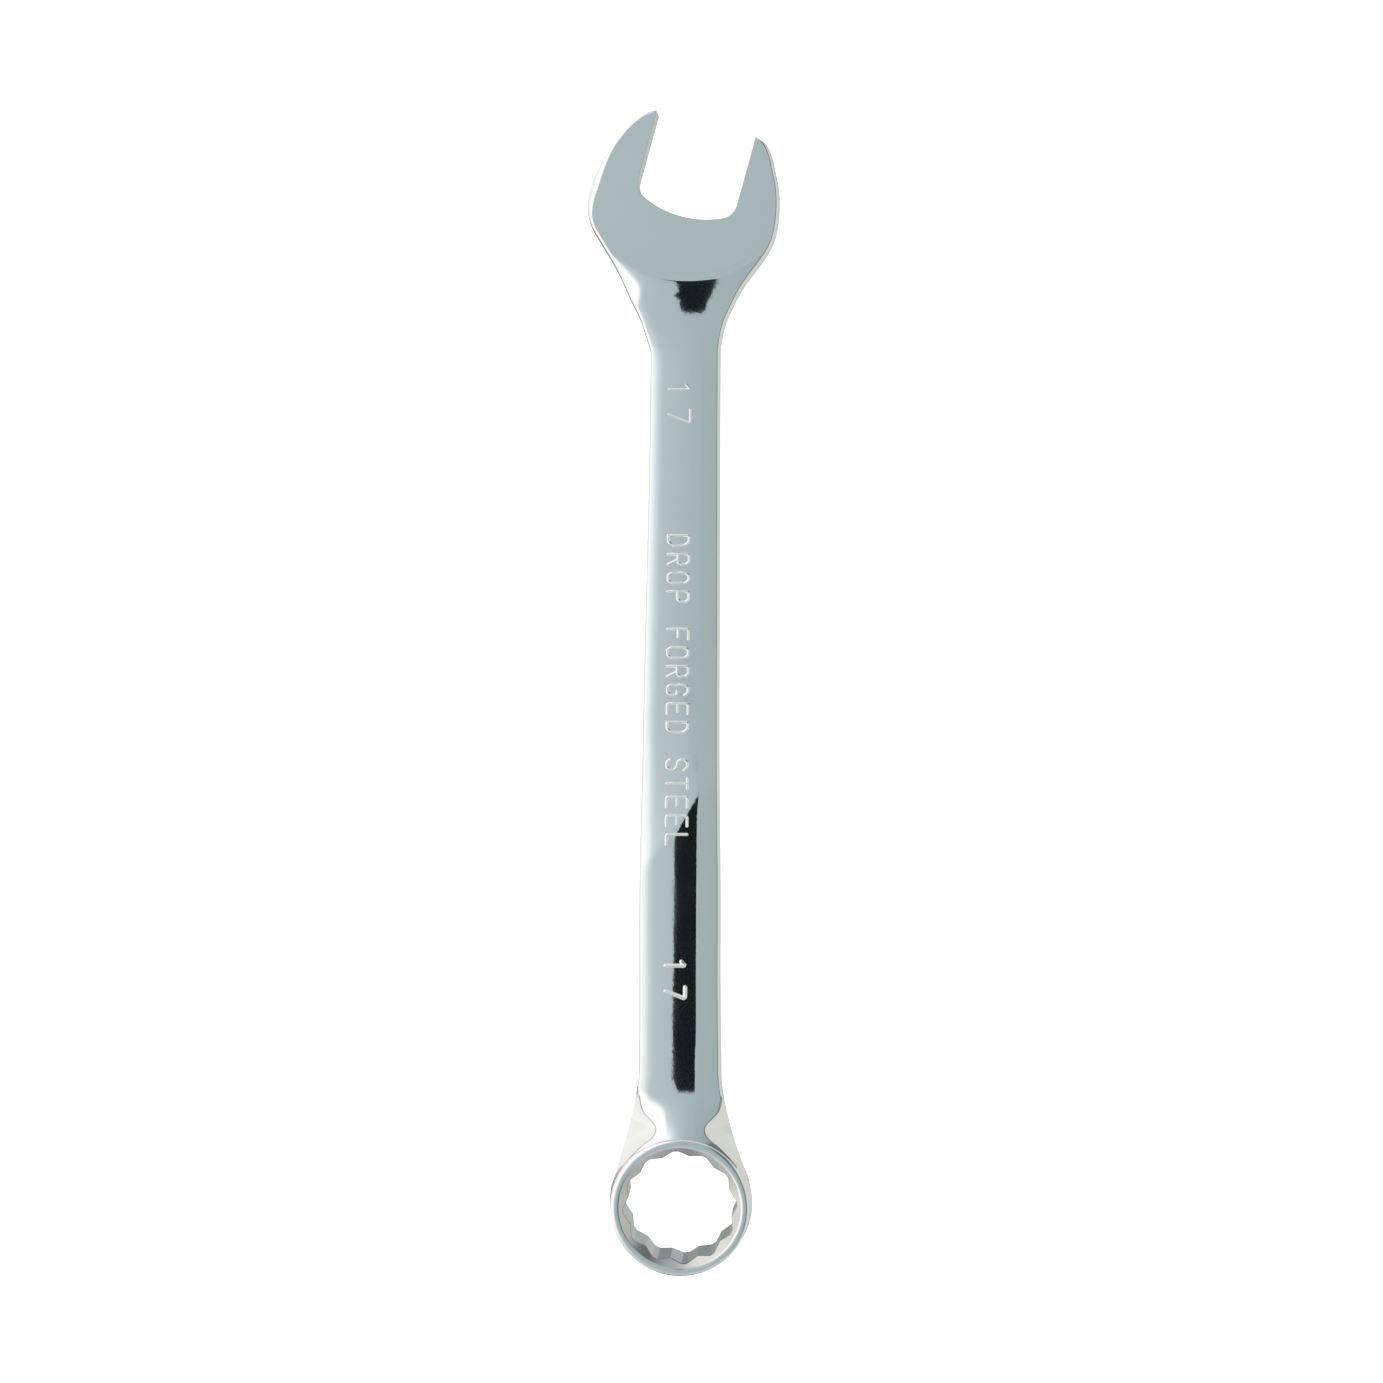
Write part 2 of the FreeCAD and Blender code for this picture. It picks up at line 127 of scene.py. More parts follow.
WEDGE_WIDTH = 3.8
WEDGE_SLOPE = 0.15
WEDGE_EASE = 1.5
WEDGE_FADE = 4.0            # the wedge, and the crown on each side, fade out before the crease
LEFT_FADE = 3.0
RIGHT_FADE = 5.0
NECK_ROLL_X = -2.3          # the ring neck's face rolls over to the left of this line
NECK_ROLL_SLOPE = 0.16
NECK_ROLL_EASE = 0.8
NECK_ROLL_Y = 19.6          # at x = NECK_ROLL_ORIGIN_X; the roll's start slants across the neck
NECK_ROLL_ORIGIN_X = -7.0
NECK_ROLL_SLANT = 0.5
NECK_ROLL_FADE = 5.0
DRAFT = math.radians(4.5)
EDGE_RADIUS = 0.42
EDGE_INSET = 0.62           # from the parting line in to where the face starts

# Ring neck
NECK_TOP_START = 18.6       # the rise to the rim starts this far from the ring's centre
RIM_MEET_Y = 11.3
RIM_MEET_Z = 6.2
RIM_DISH = 0.17             # the rise stays lower beside the middle, per mm further from the ring
RISE_PAST = 1.3             # the rise goes on this far, as a share, inside the rim
UNDER_START = 28.0
UNDER_MEET_Y = 12.3
UNDER_MEET_Z = 3.75
UNDER_POWER = 1.6
FLARE_ANGLE = math.radians(17.8)
WAIST = [(9.3, 6.4), (8.3, 7.7), (7.3, 8.75), (6.0, 10.0), (4.75, 11.0), (4.1, 11.95),
         (3.95, 12.7), (4.2, 13.4), (4.7, 14.0), (5.4, 14.7), (6.0, 15.4), (6.4, 16.3),
         (6.6, 17.4), (6.75, 18.6), (6.85, 20.0)]
WAIST_START_WAY = (-0.6, 0.8)
WAIST_HOLLOW = 0.10         # how far the scooped flanks sag below a straight slope
HOLLOW_START = 0.8          # a flank this wide starts to sag
HOLLOW_EASE = 3.0
LEAN_INSET = 0.6            # a flank's straight slope aims at this place on the rounded edge,
LEAN_DROP = 0.4             # in from it and down, as shares of the edge's radius
NECK_END_RADIUS = 11.3
EDGE_ROWS = (12, 15)        # the rows of the neck's mesh along which the scoop's edge line runs, a dark strip of painted shade
WAIST_LINE_END = 18.3

# Ring
RING_RADIUS = 12.15
RIM_INNER_RADIUS = 10.35
RIM_INNER_Z = 5.17
RIM_TURNS = [(10.35, -16.0), (10.9, 0.0), (11.25, 9.0)]     # radius, and the rim's lean there
RIM_ROUND = 0.66            # then it rounds over to the wall
WALL_DRAFT = math.radians(5)
LEAD_IN_SLOPE = 1.35 / 1.75
EDGE_BREAK = 0.11           # the broken edge between the lead-in and the socket's walls
EDGE_BREAK_LEAN = 0.45
SOCKET_HALF_FLATS = 8.55
SOCKET_CORNER_RADIUS = 9.62
SOCKET_TURN = math.radians(4.5)

# Raised marks
MARK_BASE_X = -3.1
MARK_HEIGHT = 4.1
MARK_SINK = 0.05            # how far a stroke's middle lies under the face
MARK_CORNER = 0.45          # rounding of a stroke's inner corners
CORNER_SHARE = 0.45         # the most of a stroke's straight part that it takes
STROKE_POWER = 1.6          # 1 is a half-round stroke, 2 a sharp roof
STROKE_END_START = 0.3      # angle where a stroke's round end starts
OPEN_NUMBER = dict(text="17", y_start=139.4, width=2.7, pitch=4.6, stroke=0.44, height=0.25)
LEGEND = dict(text="DROP FORGED STEEL", y_start=113.5, width=2.3, pitch=3.17, stroke=0.56,
              height=0.29)
RING_NUMBER = dict(text="17", y_start=41.6, width=2.7, pitch=4.6, stroke=0.78, height=0.36)

# Glyph strokes on a grid 2 wide and 3 high, as polylines
ROUND_TOP = [(0, 0), (0, 3), (1.5, 3), (2, 2.6), (2, 1.8), (1.5, 1.4), (0, 1.4)]
GLYPHS = {
    "1": [[(0.3, 2.4), (1.0, 3.0), (1.0, 0.0)]],
    "7": [[(0.0, 3.0), (2.0, 3.0), (0.7, 0.0)]],
    "D": [[(0, 0), (0, 3), (1.3, 3), (2, 2.3), (2, 0.7), (1.3, 0), (0, 0)]],
    "E": [[(2, 3), (0, 3), (0, 0), (2, 0)], [(0, 1.5), (1.6, 1.5)]],
    "F": [[(2, 3), (0, 3), (0, 0)], [(0, 1.5), (1.6, 1.5)]],
    "G": [[(2, 2.5), (1.5, 3), (0.5, 3), (0, 2.5), (0, 0.5), (0.5, 0), (1.5, 0), (2, 0.5),
           (2, 1.4), (1.2, 1.4)]],
    "L": [[(0, 3), (0, 0), (2, 0)]],
    "O": [[(0.5, 0), (1.5, 0), (2, 0.5), (2, 2.5), (1.5, 3), (0.5, 3), (0, 2.5), (0, 0.5),
           (0.5, 0)]],
    "P": [ROUND_TOP],
    "R": [ROUND_TOP, [(1.1, 1.4), (2, 0)]],
    "S": [[(2, 2.5), (1.5, 3), (0.5, 3), (0, 2.5), (0, 2.0), (0.5, 1.55), (1.5, 1.45),
           (2, 1.0), (2, 0.5), (1.5, 0), (0.5, 0), (0, 0.5)]],
    "T": [[(0, 3), (2, 3)], [(1, 3), (1, 0)]],
}


# Material slots: four on the ring, two on the head, and two on the ring neck. The ring's edge slot
# and the neck's scoop edge slot carry dark chrome, painted shade lines; the ring's lead-in and wall
# slots carry darker chrome, partly painted shade.
PLAIN, TURNED_PAINTED_SHADE, BROACHED_PAINTED_SHADE, RING_EDGE_PAINTED_SHADE = 0, 1, 2, 3
JAW_CUT = 1
SCOOP_EDGE_PAINTED_SHADE = 1

# How finely the meshes are divided
OUTLINE_SPACING = 0.25
SHANK_SPACING = 1.0
PASS_STEPS = 600
FLANK_SPACING = 0.1
WAIST_SPACING = 0.05
FLAT_SPACING = 1.3
FACE_COLUMNS = 33
NECK_ROWS = 49
EDGE_STEPS = 7
TIP_STEPS = 13
CUT_MARGIN = 2              # the cut faces' material starts this many points into each tip
CORNER_STEPS = 14
THROAT_STEPS = 26
FLAT_STEPS = 12
RING_NECK_WALL = 12
RING_NECK_EDGE = 7
RING_NECK_FACE = 17
RING_NECK_ROWS = 120
RING_NECK_SEARCH = 400
SOCKET_CORNER_STEPS = 5
SOCKET_WALL_STEPS = 7
SOCKET_DEPTH_STEPS = 5
RIM_STEPS = 13
RIM_ROUND_STEPS = 9
STROKE_TURNS = 17
STROKE_END_STEPS = 4
STROKE_CORNER_STEPS = 6
SLOPE_STEP = 1e-3           # the small step by which slopes of a surface are found


# ---- curves and heights

def unit(v):
    return v / np.maximum(np.linalg.norm(v, axis=-1, keepdims=True), 1e-12)


def smoothstep(t):
    t = np.clip(t, 0.0, 1.0)
    return t * t * (3 - 2 * t)


def smooth_curve(points, start, end, spacing):
    """A cubic spline through the points with given end directions, sampled evenly."""
    p = np.array(points, float)
    chord = np.linalg.norm(np.diff(p, axis=0), axis=1)
    t = np.concatenate(([0.0], np.cumsum(chord)))
    n = len(p)
    matrix = np.zeros((n, n))
    right = np.zeros((n, 2))
    matrix[0, 0] = matrix[-1, -1] = 1.0
    right[0] = unit(np.array(start, float))
    right[-1] = unit(np.array(end, float))
    for i in range(1, n - 1):
        a, b = chord[i - 1], chord[i]
        matrix[i, i - 1:i + 2] = (b, 2 * (a + b), a)
        right[i] = 3 * (b * (p[i] - p[i - 1]) / a + a * (p[i + 1] - p[i]) / b)
    slope = np.linalg.solve(matrix, right)
    s = np.linspace(0, t[-1], int(t[-1] / spacing) + 1)
    k = np.clip(np.searchsorted(t, s, side="right") - 1, 0, n - 2)
    h = chord[k][:, None]
    u = ((s - t[k]) / chord[k])[:, None]
    return ((2 * u**3 - 3 * u**2 + 1) * p[k] + (u**3 - 2 * u**2 + u) * h * slope[k]
            + (3 * u**2 - 2 * u**3) * p[k + 1] + (u**3 - u**2) * h * slope[k + 1])


def path_normals(path, side):
    """Normals of a plan path, on its left (side 1) or its right (side -1)."""
    along = unit(np.gradient(path, axis=0))
    return side * np.stack((-along[:, 1], along[:, 0]), axis=1)


def crease_y(x):
    """Where the flat head starts, across the neck."""
    return CREASE_Y + CREASE_B * x**2 + CREASE_C * x**4


def swell(x, y):
    """The marked face's gentle rise from the shank to the ring, with the grinder's last pass."""
    rise = SHANK_HALF + np.clip(SWELL_START - y, 0, None)**2 / (2 * SWELL_RADIUS)
    foot = FOOT_CURVE * np.clip(FOOT_START - y, 0, None)**2 / 2
    return rise + foot + np.interp(y - PASS_SKEW * x, PASS_Y, PASS_HEIGHT)


def neck_top(x, y):
    """The marked face's height along the shank and the ring neck, rising to the ring's rim."""
    distance = np.hypot(x, y)
    e = np.clip((NECK_TOP_START - distance) / (NECK_TOP_START - RIM_MEET_Y), 0, RISE_PAST)
    rise = (RIM_MEET_Z - swell(0.0, RIM_MEET_Y)) * e**2
    return swell(x, y) + rise - RIM_DISH * (distance - y) * np.clip(e, 0, 1)


def neck_under(y):
    """The underside's depth below the shank's middle."""
    e = np.clip(UNDER_START - y, 0, UNDER_START - UNDER_MEET_Y) / (UNDER_START - UNDER_MEET_Y)
    past = np.clip(UNDER_MEET_Y - y, 0, None) * math.tan(RING_TILT)
    return SHANK_HALF + (UNDER_MEET_Z - SHANK_HALF) * e**UNDER_POWER + past


def edge_line(points, y):
    """The x of a plan line at a y."""
    return np.interp(y, points[:, 1], points[:, 0])


def turned_over(past, slope, ease):
    """How far a face has dropped past the line where it turns over to a steady slope."""
    near = np.clip(past, 0, ease)
    return slope * (near**2 / (2 * ease) + np.clip(past - ease, 0, None))


def crown(x, high_line, neck):
    """The face's fall on each side of its high line."""
    across = x - high_line
    plain = CROWN_SLOPE * across**2 / 2
    reach = NECK_CROWN_REACH
    bounded = NECK_CROWN_SLOPE * reach**2 / 2 * (1 - np.exp(-(across / reach)**2))
    bounded = bounded * np.where(across > 0, NECK_CROWN_RIGHT, 1.0)
    return plain + (bounded - plain) * neck


def belt_ridge(x, y):
    """The face's steady fall to the right of the ridge that the polishing belt left."""
    past = np.clip(x - RIDGE_X - RIDGE_WIDTH / 2, 0, None)
    turn = np.clip(x - RIDGE_X + RIDGE_WIDTH / 2, 0, RIDGE_WIDTH)
    ridge = RIDGE_TURN * (turn**2 / (2 * RIDGE_WIDTH) + past)
    return ridge * smoothstep((RIDGE_END - y) / RIDGE_EASE)


def crown_drop(x, y, below):
    """How far the polished face falls away across its width, this far below the crease."""
    neck = smoothstep((y - NECK_CROWN_START) / NECK_CROWN_EASE)
    high_line = HIGH_LINE_X + (NECK_HIGH_LINE_X - HIGH_LINE_X) * neck
    inward = x - edge_line(WHOLE_LEFT, y)
    roll = ROLL_SLOPE * np.clip(ROLL_WIDTH - inward, 0, None)**2 / (2 * ROLL_WIDTH)
    width = WEDGE_WIDTH * smoothstep((y - WEDGE_START) / WEDGE_LENGTH)
    wedge = turned_over(width - inward, WEDGE_SLOPE, WEDGE_EASE) * smoothstep(below / WEDGE_FADE)
    roll_start = NECK_ROLL_Y - NECK_ROLL_SLANT * (x - NECK_ROLL_ORIGIN_X)
    corner = smoothstep((roll_start - y) / NECK_ROLL_FADE)
    neck_roll = turned_over(NECK_ROLL_X - x, NECK_ROLL_SLOPE, NECK_ROLL_EASE) * corner
    fade = smoothstep(below / np.where(x > high_line, RIGHT_FADE, LEFT_FADE))
    return (crown(x, high_line, neck) + belt_ridge(x, y) + roll) * fade + wedge + neck_roll


def face_height(x, y, side):
    """Height of the marked face (side 1) or the underside (side -1) from the shank's middle."""
    below = crease_y(x) - y
    rise = np.clip(1 - below / RISE_LENGTH, 0, 1)
    rise = np.where(below < 0, 1.0, rise**2)
    level = neck_top(x, y) if side > 0 else neck_under(y)
    lift = (HEAD_HALF - SHANK_HALF - RISE_HEIGHT) * smoothstep((y - LIFT_START) / LIFT_LENGTH)
    drop = np.where(below > 0, crown_drop(x, y, np.clip(below, 0, None)), 0.0)
    return side * (level + RISE_HEIGHT * rise + lift - drop)


def face_normal(x, y, side):
    """The face's outward normal, from the slopes of its height."""
    h = SLOPE_STEP
    dx = (face_height(x + h, y, side) - face_height(x - h, y, side)) / (2 * h)
    dy = (face_height(x, y + h, side) - face_height(x, y - h, side)) / (2 * h)
    return unit(side * np.stack((-dx, -dy, np.ones_like(dx)), axis=-1))


# The grinder's pass: places along it, and the height that it left on the face at each
PASS_Y = np.linspace(PASS_START - PASS_EASE, PASS_END, PASS_STEPS)
PASS_GROWTH = smoothstep((PASS_Y - PASS_START + PASS_EASE) / PASS_EASE)
PASS_FALL = PASS_SLOPE * PASS_GROWTH * (PASS_END - PASS_Y) / (PASS_END - PASS_START)
PASS_HEIGHT = np.cumsum(PASS_FALL[::-1])[::-1] * (PASS_Y[1] - PASS_Y[0])
SHANK_EDGES = [smooth_curve(edge, (0, 1), (0, 1), SHANK_SPACING) for edge in (LEFT_EDGE, RIGHT_EDGE)]
# The left edge from the ring to the head's widest place
WHOLE_LEFT = np.array(LEFT_FLANK[::-1] + LEFT_EDGE[1:] + LEFT_OUTLINE[1:8])


# ---- building meshes

class Skin:
    """One closed surface, made of patches that share their border points."""

    def __init__(self):
        self.index = {}
        self.points = []
        self.faces = []
        self.normals = []
        self.slots = []

    def add_point(self, p):
        key = (round(p[0], 4), round(p[1], 4), round(p[2], 4))
        if key not in self.index:
            self.index[key] = len(self.points)
            self.points.append(p)
        return self.index[key]

    def add_face(self, corners, normals, slot):
        ids, kept = [], []
        for corner, normal in zip(corners, normals):
            i = self.add_point(corner)
            if i not in ids:
                ids.append(i)
                kept.append(normal)
        if len(ids) > 2:
            self.faces.append(ids)
            self.normals.extend(kept)
            self.slots.append(slot)

    def add_grid(self, p, n, slot=PLAIN):
        """Four-sided faces over a grid of points, turned to face along their normals."""
        rows, columns = p.shape[:2]
        across = np.cross(p[1:, :-1] - p[:-1, :-1], p[:-1, 1:] - p[:-1, :-1])
        turned = (across * n[:-1, :-1]).sum() < 0
        for i in range(rows - 1):
            for j in range(columns - 1):
                ring = [(i, j), (i + 1, j), (i + 1, j + 1), (i, j + 1)]
                if turned:
                    ring.reverse()
                self.add_face([p[c] for c in ring], [n[c] for c in ring], slot)

    def add_cap(self, top, bottom, direction):
        """Closes an end between its upper and its lower line."""
        p = np.stack((top, bottom))
        self.add_grid(p, np.broadcast_to(np.array(direction, float), p.shape))

    def add_flat(self, loop, up, spacing):
        """Fills a flat closed line with triangles of an even size."""
        low, high = loop[:, :2].min(axis=0), loop[:, :2].max(axis=0)
        xs = np.arange(low[0] + spacing / 2, high[0], spacing)
        ys = np.arange(low[1] + spacing / 2, high[1], spacing)
        inner = [(x, y) for x in xs for y in ys if well_inside(loop, x, y, spacing / 2)]
        points = [tuple(p[:2]) for p in loop] + inner
        border = list(range(len(loop)))
        result = delaunay_2d_cdt([Vector(p) for p in points], [], [border], 1, 1e-6)
        z = loop[0][2]
        exact = [points[ids[0]] for ids in result[3]]
        normal = np.array((0.0, 0.0, up))
        for face in result[2]:
            corners = [np.array((*exact[i], z)) for i in face]
            a, b, c = corners[:3]
            if (np.cross(b - a, c - a)[2] < 0) == (up > 0):
                corners.reverse()
            self.add_face(corners, [normal] * len(corners), PLAIN)

    def make(self, name, materials):
        """Lays the surface where the wrench lies, as a piece that rides on its body."""
        mesh = bpy.data.meshes.new(name)
        row_points = np.array(self.points) @ np.array(LIE.transposed()) * MM + RING_CENTRE
        mesh.from_pydata(row_points.tolist(), [], self.faces)
        for material in materials:
            mesh.materials.append(material)
        mesh.polygons.foreach_set("material_index", self.slots)
        mesh.polygons.foreach_set("use_smooth", [True] * len(self.faces))
        mesh.update()
        turned = unit(np.array(self.normals)) @ np.array(LIE.transposed())
        mesh.normals_split_custom_set(turned.tolist())
        piece = bpy.data.objects.new(name, mesh)
        bpy.context.scene.collection.objects.link(piece)
        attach(piece, "root")
        return piece


def well_inside(loop, x, y, margin):
    """True where a point is inside a plan loop and clear of its line."""
    a = loop[:, :2]
    b = np.roll(a, -1, axis=0)
    crossing = (a[:, 1] > y) != (b[:, 1] > y)
    rise = np.where(crossing, b[:, 1] - a[:, 1], 1.0)
    at = a[:, 0] + (y - a[:, 1]) * (b[:, 0] - a[:, 0]) / rise
    if np.count_nonzero(crossing & (at > x)) % 2 == 0:
        return False
    return np.min(np.hypot(a[:, 0] - x, a[:, 1] - y)) > margin


def edge_band(path, outward, side, mid, draft, radius):
    """The side wall and rounded edge along a plan path.

    Returns points and normals from the parting line up to the face (side 1) or down to
    the underside (side -1). draft and radius may vary along the path.
    """
    n = len(path)
    draft, radius, mid = (np.broadcast_to(value, n) for value in (draft, radius, mid))
    inset = radius
    for _ in range(3):
        inner = path - outward * inset[:, None]
        z_face = face_height(inner[:, 0], inner[:, 1], side)
        tall = np.abs(z_face - mid) - radius * (1 - np.sin(draft))
        inset = np.tan(draft) * tall + radius * np.cos(draft)
    up = face_normal(inner[:, 0], inner[:, 1], side)
    out = np.concatenate((outward, np.zeros((n, 1))), axis=1)
    points = [np.column_stack((path, mid))]
    normals = [unit(out * np.cos(draft)[:, None] + up * np.sin(draft)[:, None])]
    for turn in np.linspace(0, 1, EDGE_STEPS):
        angle = draft + (math.pi / 2 - draft) * turn
        shift = inset - radius * np.cos(angle)
        z = z_face - side * radius * (1 - np.sin(angle))
        points.append(np.column_stack((path - outward * shift[:, None], z)))
        normals.append(unit(out * np.cos(angle)[:, None] + up * np.sin(angle)[:, None]))
    return np.stack(points, axis=1), np.stack(normals, axis=1)


def between(a, b, count):
    """A grid of points spread evenly from each point of a to the same one of b."""
    share = np.linspace(0, 1, count)[None, :, None]
    return a[:, None, :] * (1 - share) + b[:, None, :] * share


def face_rows(left, right, side, bow=None):
    """The face between two edges' inner lines. bow gives a row's own y at each x."""
    p = between(left, right, FACE_COLUMNS)
    if bow is not None:
        lift = p[:, [0, -1], 1] - bow(p[:, [0, -1], 0])
        share = np.linspace(0, 1, FACE_COLUMNS)
        lift = lift[:, :1] * (1 - share) + lift[:, 1:] * share
        p[:, :, 1] = bow(p[..., 0]) + lift
    p[..., 2] = face_height(p[..., 0], p[..., 1], side)
    p[:, 0], p[:, -1] = left, right
    return p, face_normal(p[..., 0], p[..., 1], side)


def middle(path):
    """The parting line's height along a plan path."""
    x, y = path[:, 0], path[:, 1]
    return (face_height(x, y, 1) + face_height(x, y, -1)) / 2


# ---- the forging's regions

def bar_piece(name, left, right, materials, bow=None):
    """A stretch of bar between two edge paths, which run row by row from one end."""
    skin = Skin()
    sections = {}
    for side in (1, -1):
        bands = []
        for path, hand in ((left, 1), (right, -1)):
            outward = path_normals(path, hand)
            outward[0] = (-hand, 0.0)
            p, n = edge_band(path, outward, side, middle(path), DRAFT, EDGE_RADIUS)
            skin.add_grid(p, n)
            bands.append(p)
        p, n = face_rows(bands[0][:, -1], bands[1][:, -1], side, bow)
        skin.add_grid(p, n)
        sections[side] = np.concatenate((bands[0], p[:, 1:-1], bands[1][:, ::-1]), axis=1)
    skin.add_cap(sections[1][0], sections[-1][0], (0, -1, 0))
    skin.add_cap(sections[1][-1], sections[-1][-1], (0, 1, 0))
    return skin.make(name, materials)


def head_outlines():
    """The outer sides of neck and head, from the shank to each jaw tip."""
    left = smooth_curve(LEFT_OUTLINE, (0, 1), LEFT_TIP_WAY, OUTLINE_SPACING)
    right = smooth_curve(RIGHT_OUTLINE, (0, 1), RIGHT_TIP_WAY, OUTLINE_SPACING)
    return left, right


def split_at_crease(path):
    """Where a path crosses the head's crease, and each point's share of the way to it."""
    share = (path[:, 1] - SHANK_TOP_Y) / (crease_y(path[:, 0]) - SHANK_TOP_Y)
    return int(np.argmax(share >= 1.0)), share


def crossing_point(path, cut, share):
    """The path's point exactly on the crease, just before its point number cut."""
    f = (1 - share[cut - 1]) / (share[cut] - share[cut - 1])
    return path[cut - 1] * (1 - f) + path[cut] * f


def open_end_neck(materials):
    """The flared neck, whose rows bend from straight across to the crease's curve."""
    rows = np.linspace(0, 1, NECK_ROWS)
    edges = []
    for path in head_outlines():
        cut, share = split_at_crease(path)
        path = np.vstack((path[:cut], crossing_point(path, cut, share)))
        share = np.append(share[:cut], 1.0)
        edges.append(np.column_stack([np.interp(rows, share, path[:, i]) for i in (0, 1)]))

    def bow(x):
        t = rows[:, None]
        return SHANK_TOP_Y * (1 - t) + crease_y(x) * t

    return bar_piece("polished_open_neck", edges[0], edges[1], materials, bow)


def jaw_point(u, v):
    """A plan point from u across the jaw opening and v out of it."""
    c, s = math.cos(JAW_ANGLE), math.sin(JAW_ANGLE)
    return np.column_stack((u * c + v * s, JAW_CENTRE_Y - u * s + v * c))


def bend(a, corner, b, count):
    """A rounded corner from a to b."""
    t = np.linspace(0, 1, count)[:, None]
    return a * (1 - t)**2 + 2 * corner * t * (1 - t) + b * t**2


def meet(a, along_a, b, along_b):
    """Where two plan lines cross."""
    t = np.linalg.solve(np.column_stack((along_a, -along_b)), b - a)
    return a + along_a * t[0]


def throat_path():
    """The jaw flats and the throat between them, from the left tip round to the right."""
    centre = THROAT_RADIUS - THROAT_DEPTH
    r = THROAT_CORNER
    corner_u = JAW_HALF_GAP - r
    corner_v = centre - math.sqrt((THROAT_RADIUS - r)**2 - corner_u**2)
    lean = math.atan2(corner_u, centre - corner_v)
    angle = np.linspace(math.pi / 2, lean, CORNER_STEPS)
    arc_u = corner_u + r * np.sin(angle)
    arc_v = corner_v - r * np.cos(angle)
    base = np.linspace(lean, -lean, THROAT_STEPS)[1:-1]
    right = np.column_stack((arc_u, arc_v))
    left = right * (-1, 1)
    bottom = np.column_stack((THROAT_RADIUS * np.sin(base), centre - THROAT_RADIUS * np.cos(base)))
    across = np.full(FLAT_STEPS, JAW_HALF_GAP)
    flat_left = np.column_stack((-across, np.linspace(TIP_START_LEFT, corner_v, FLAT_STEPS)))
    flat_right = np.column_stack((across, np.linspace(corner_v, TIP_START_RIGHT, FLAT_STEPS)))
    uv = np.vstack((flat_left[:-1], left, bottom[::-1], right[::-1], flat_right[1:]))
    return jaw_point(uv[:, 0], uv[:, 1])


def head_path():
    """The line round the flat head in plan, from the crease round both jaws and back to it.

    Also returns each point's kind, from 0 on the forged outline to 1 on the cut jaw flats,
    the path's outward directions, and the numbers of the points where the cut faces start
    and end.
    """
    sides, ends = [], []
    for outline, hand in zip(head_outlines(), (1, -1)):
        cut, share = split_at_crease(outline)
        sides.append(np.vstack((crossing_point(outline, cut, share), outline[cut:])))
        ends.append(path_normals(outline, hand)[cut])
    left, right = sides
    throat = throat_path()
    flat_way = np.array((math.sin(JAW_ANGLE), math.cos(JAW_ANGLE)))
    tips = []
    for outline, flat_end in ((left, throat[0]), (right, throat[-1])):
        corner = meet(outline[-1], outline[-1] - outline[-2], flat_end, flat_way)
        tips.append(bend(outline[-1], corner, flat_end, TIP_STEPS))
    path = np.vstack((left[:-1], tips[0], throat[1:-1], tips[1][::-1], right[:-1][::-1]))
    turning = np.linspace(0, 1, TIP_STEPS)
    kind = np.concatenate((np.zeros(len(left) - 1), turning, np.ones(len(throat) - 2),
                           turning[::-1], np.zeros(len(right) - 1)))
    outward = path_normals(path, 1)
    outward[0], outward[-1] = ends
    cut_from = len(left) - 1 + TIP_STEPS - CUT_MARGIN
    cut_to = cut_from + len(throat) + 2 * CUT_MARGIN
    return path, smoothstep(kind), outward, (cut_from, cut_to)


def edge_radii(path, kind):
    """The rounded edge's radius along the head, larger on its left shoulder."""
    radius = EDGE_RADIUS + (BROKEN_EDGE - EDGE_RADIUS) * kind
    y = path[:, 1]
    on_left = (path[:, 0] < HEAD_ROLL_MAX_X) & (y < HEAD_ROLL_END_Y)
    fade_in = smoothstep((y - y[0]) / HEAD_ROLL_EASE)
    fade_out = smoothstep((HEAD_ROLL_END_Y - y) / HEAD_ROLL_EASE)
    return radius + HEAD_ROLL * fade_in * fade_out * on_left


def crease_row(a, b, z):
    """A row of points along the crease between two end points, at height z."""
    x = np.linspace(a[0], b[0], FACE_COLUMNS)
    share = np.linspace(0, 1, FACE_COLUMNS)
    lift = (a[1] - crease_y(a[0])) * (1 - share) + (b[1] - crease_y(b[0])) * share
    row = np.column_stack((x, crease_y(x) + lift, np.full(FACE_COLUMNS, z)))
    row[0], row[-1] = a, b
    return row


def open_end_head(materials):
    """The flat head with its two jaws, whose cut flats have a material of their own."""
    path, kind, outward, (cut_from, cut_to) = head_path()
    draft = DRAFT * (1 - kind)
    radius = edge_radii(path, kind)
    skin = Skin()
    sections = {}
    for side in (1, -1):
        p, n = edge_band(path, outward, side, 0.0, draft, radius)
        p[:, -1, 2] = side * HEAD_HALF
        skin.add_grid(p[:cut_from + 1], n[:cut_from + 1])
        skin.add_grid(p[cut_from:cut_to + 1], n[cut_from:cut_to + 1], JAW_CUT)
        skin.add_grid(p[cut_to:], n[cut_to:])
        row = crease_row(p[0, -1], p[-1, -1], side * HEAD_HALF)
        skin.add_flat(np.vstack((p[:, -1], row[1:-1][::-1])), side, FLAT_SPACING)
        sections[side] = np.vstack((p[0], row[1:-1], p[-1][::-1]))
    skin.add_cap(sections[1], sections[-1], (0, -1, 0))
    return skin.make("polished_head", materials)


def flank(points):
    """One side of the ring neck in plan, from just past the shank's end to the ring."""
    way = np.array((-math.copysign(math.tan(FLARE_ANGLE), -points[0][0]), -1.0))
    curve = smooth_curve(points, (0, -1), way, FLANK_SPACING)
    past = curve[0] + np.array((0.0, 1.0))
    return np.vstack((past, curve))[::-1]


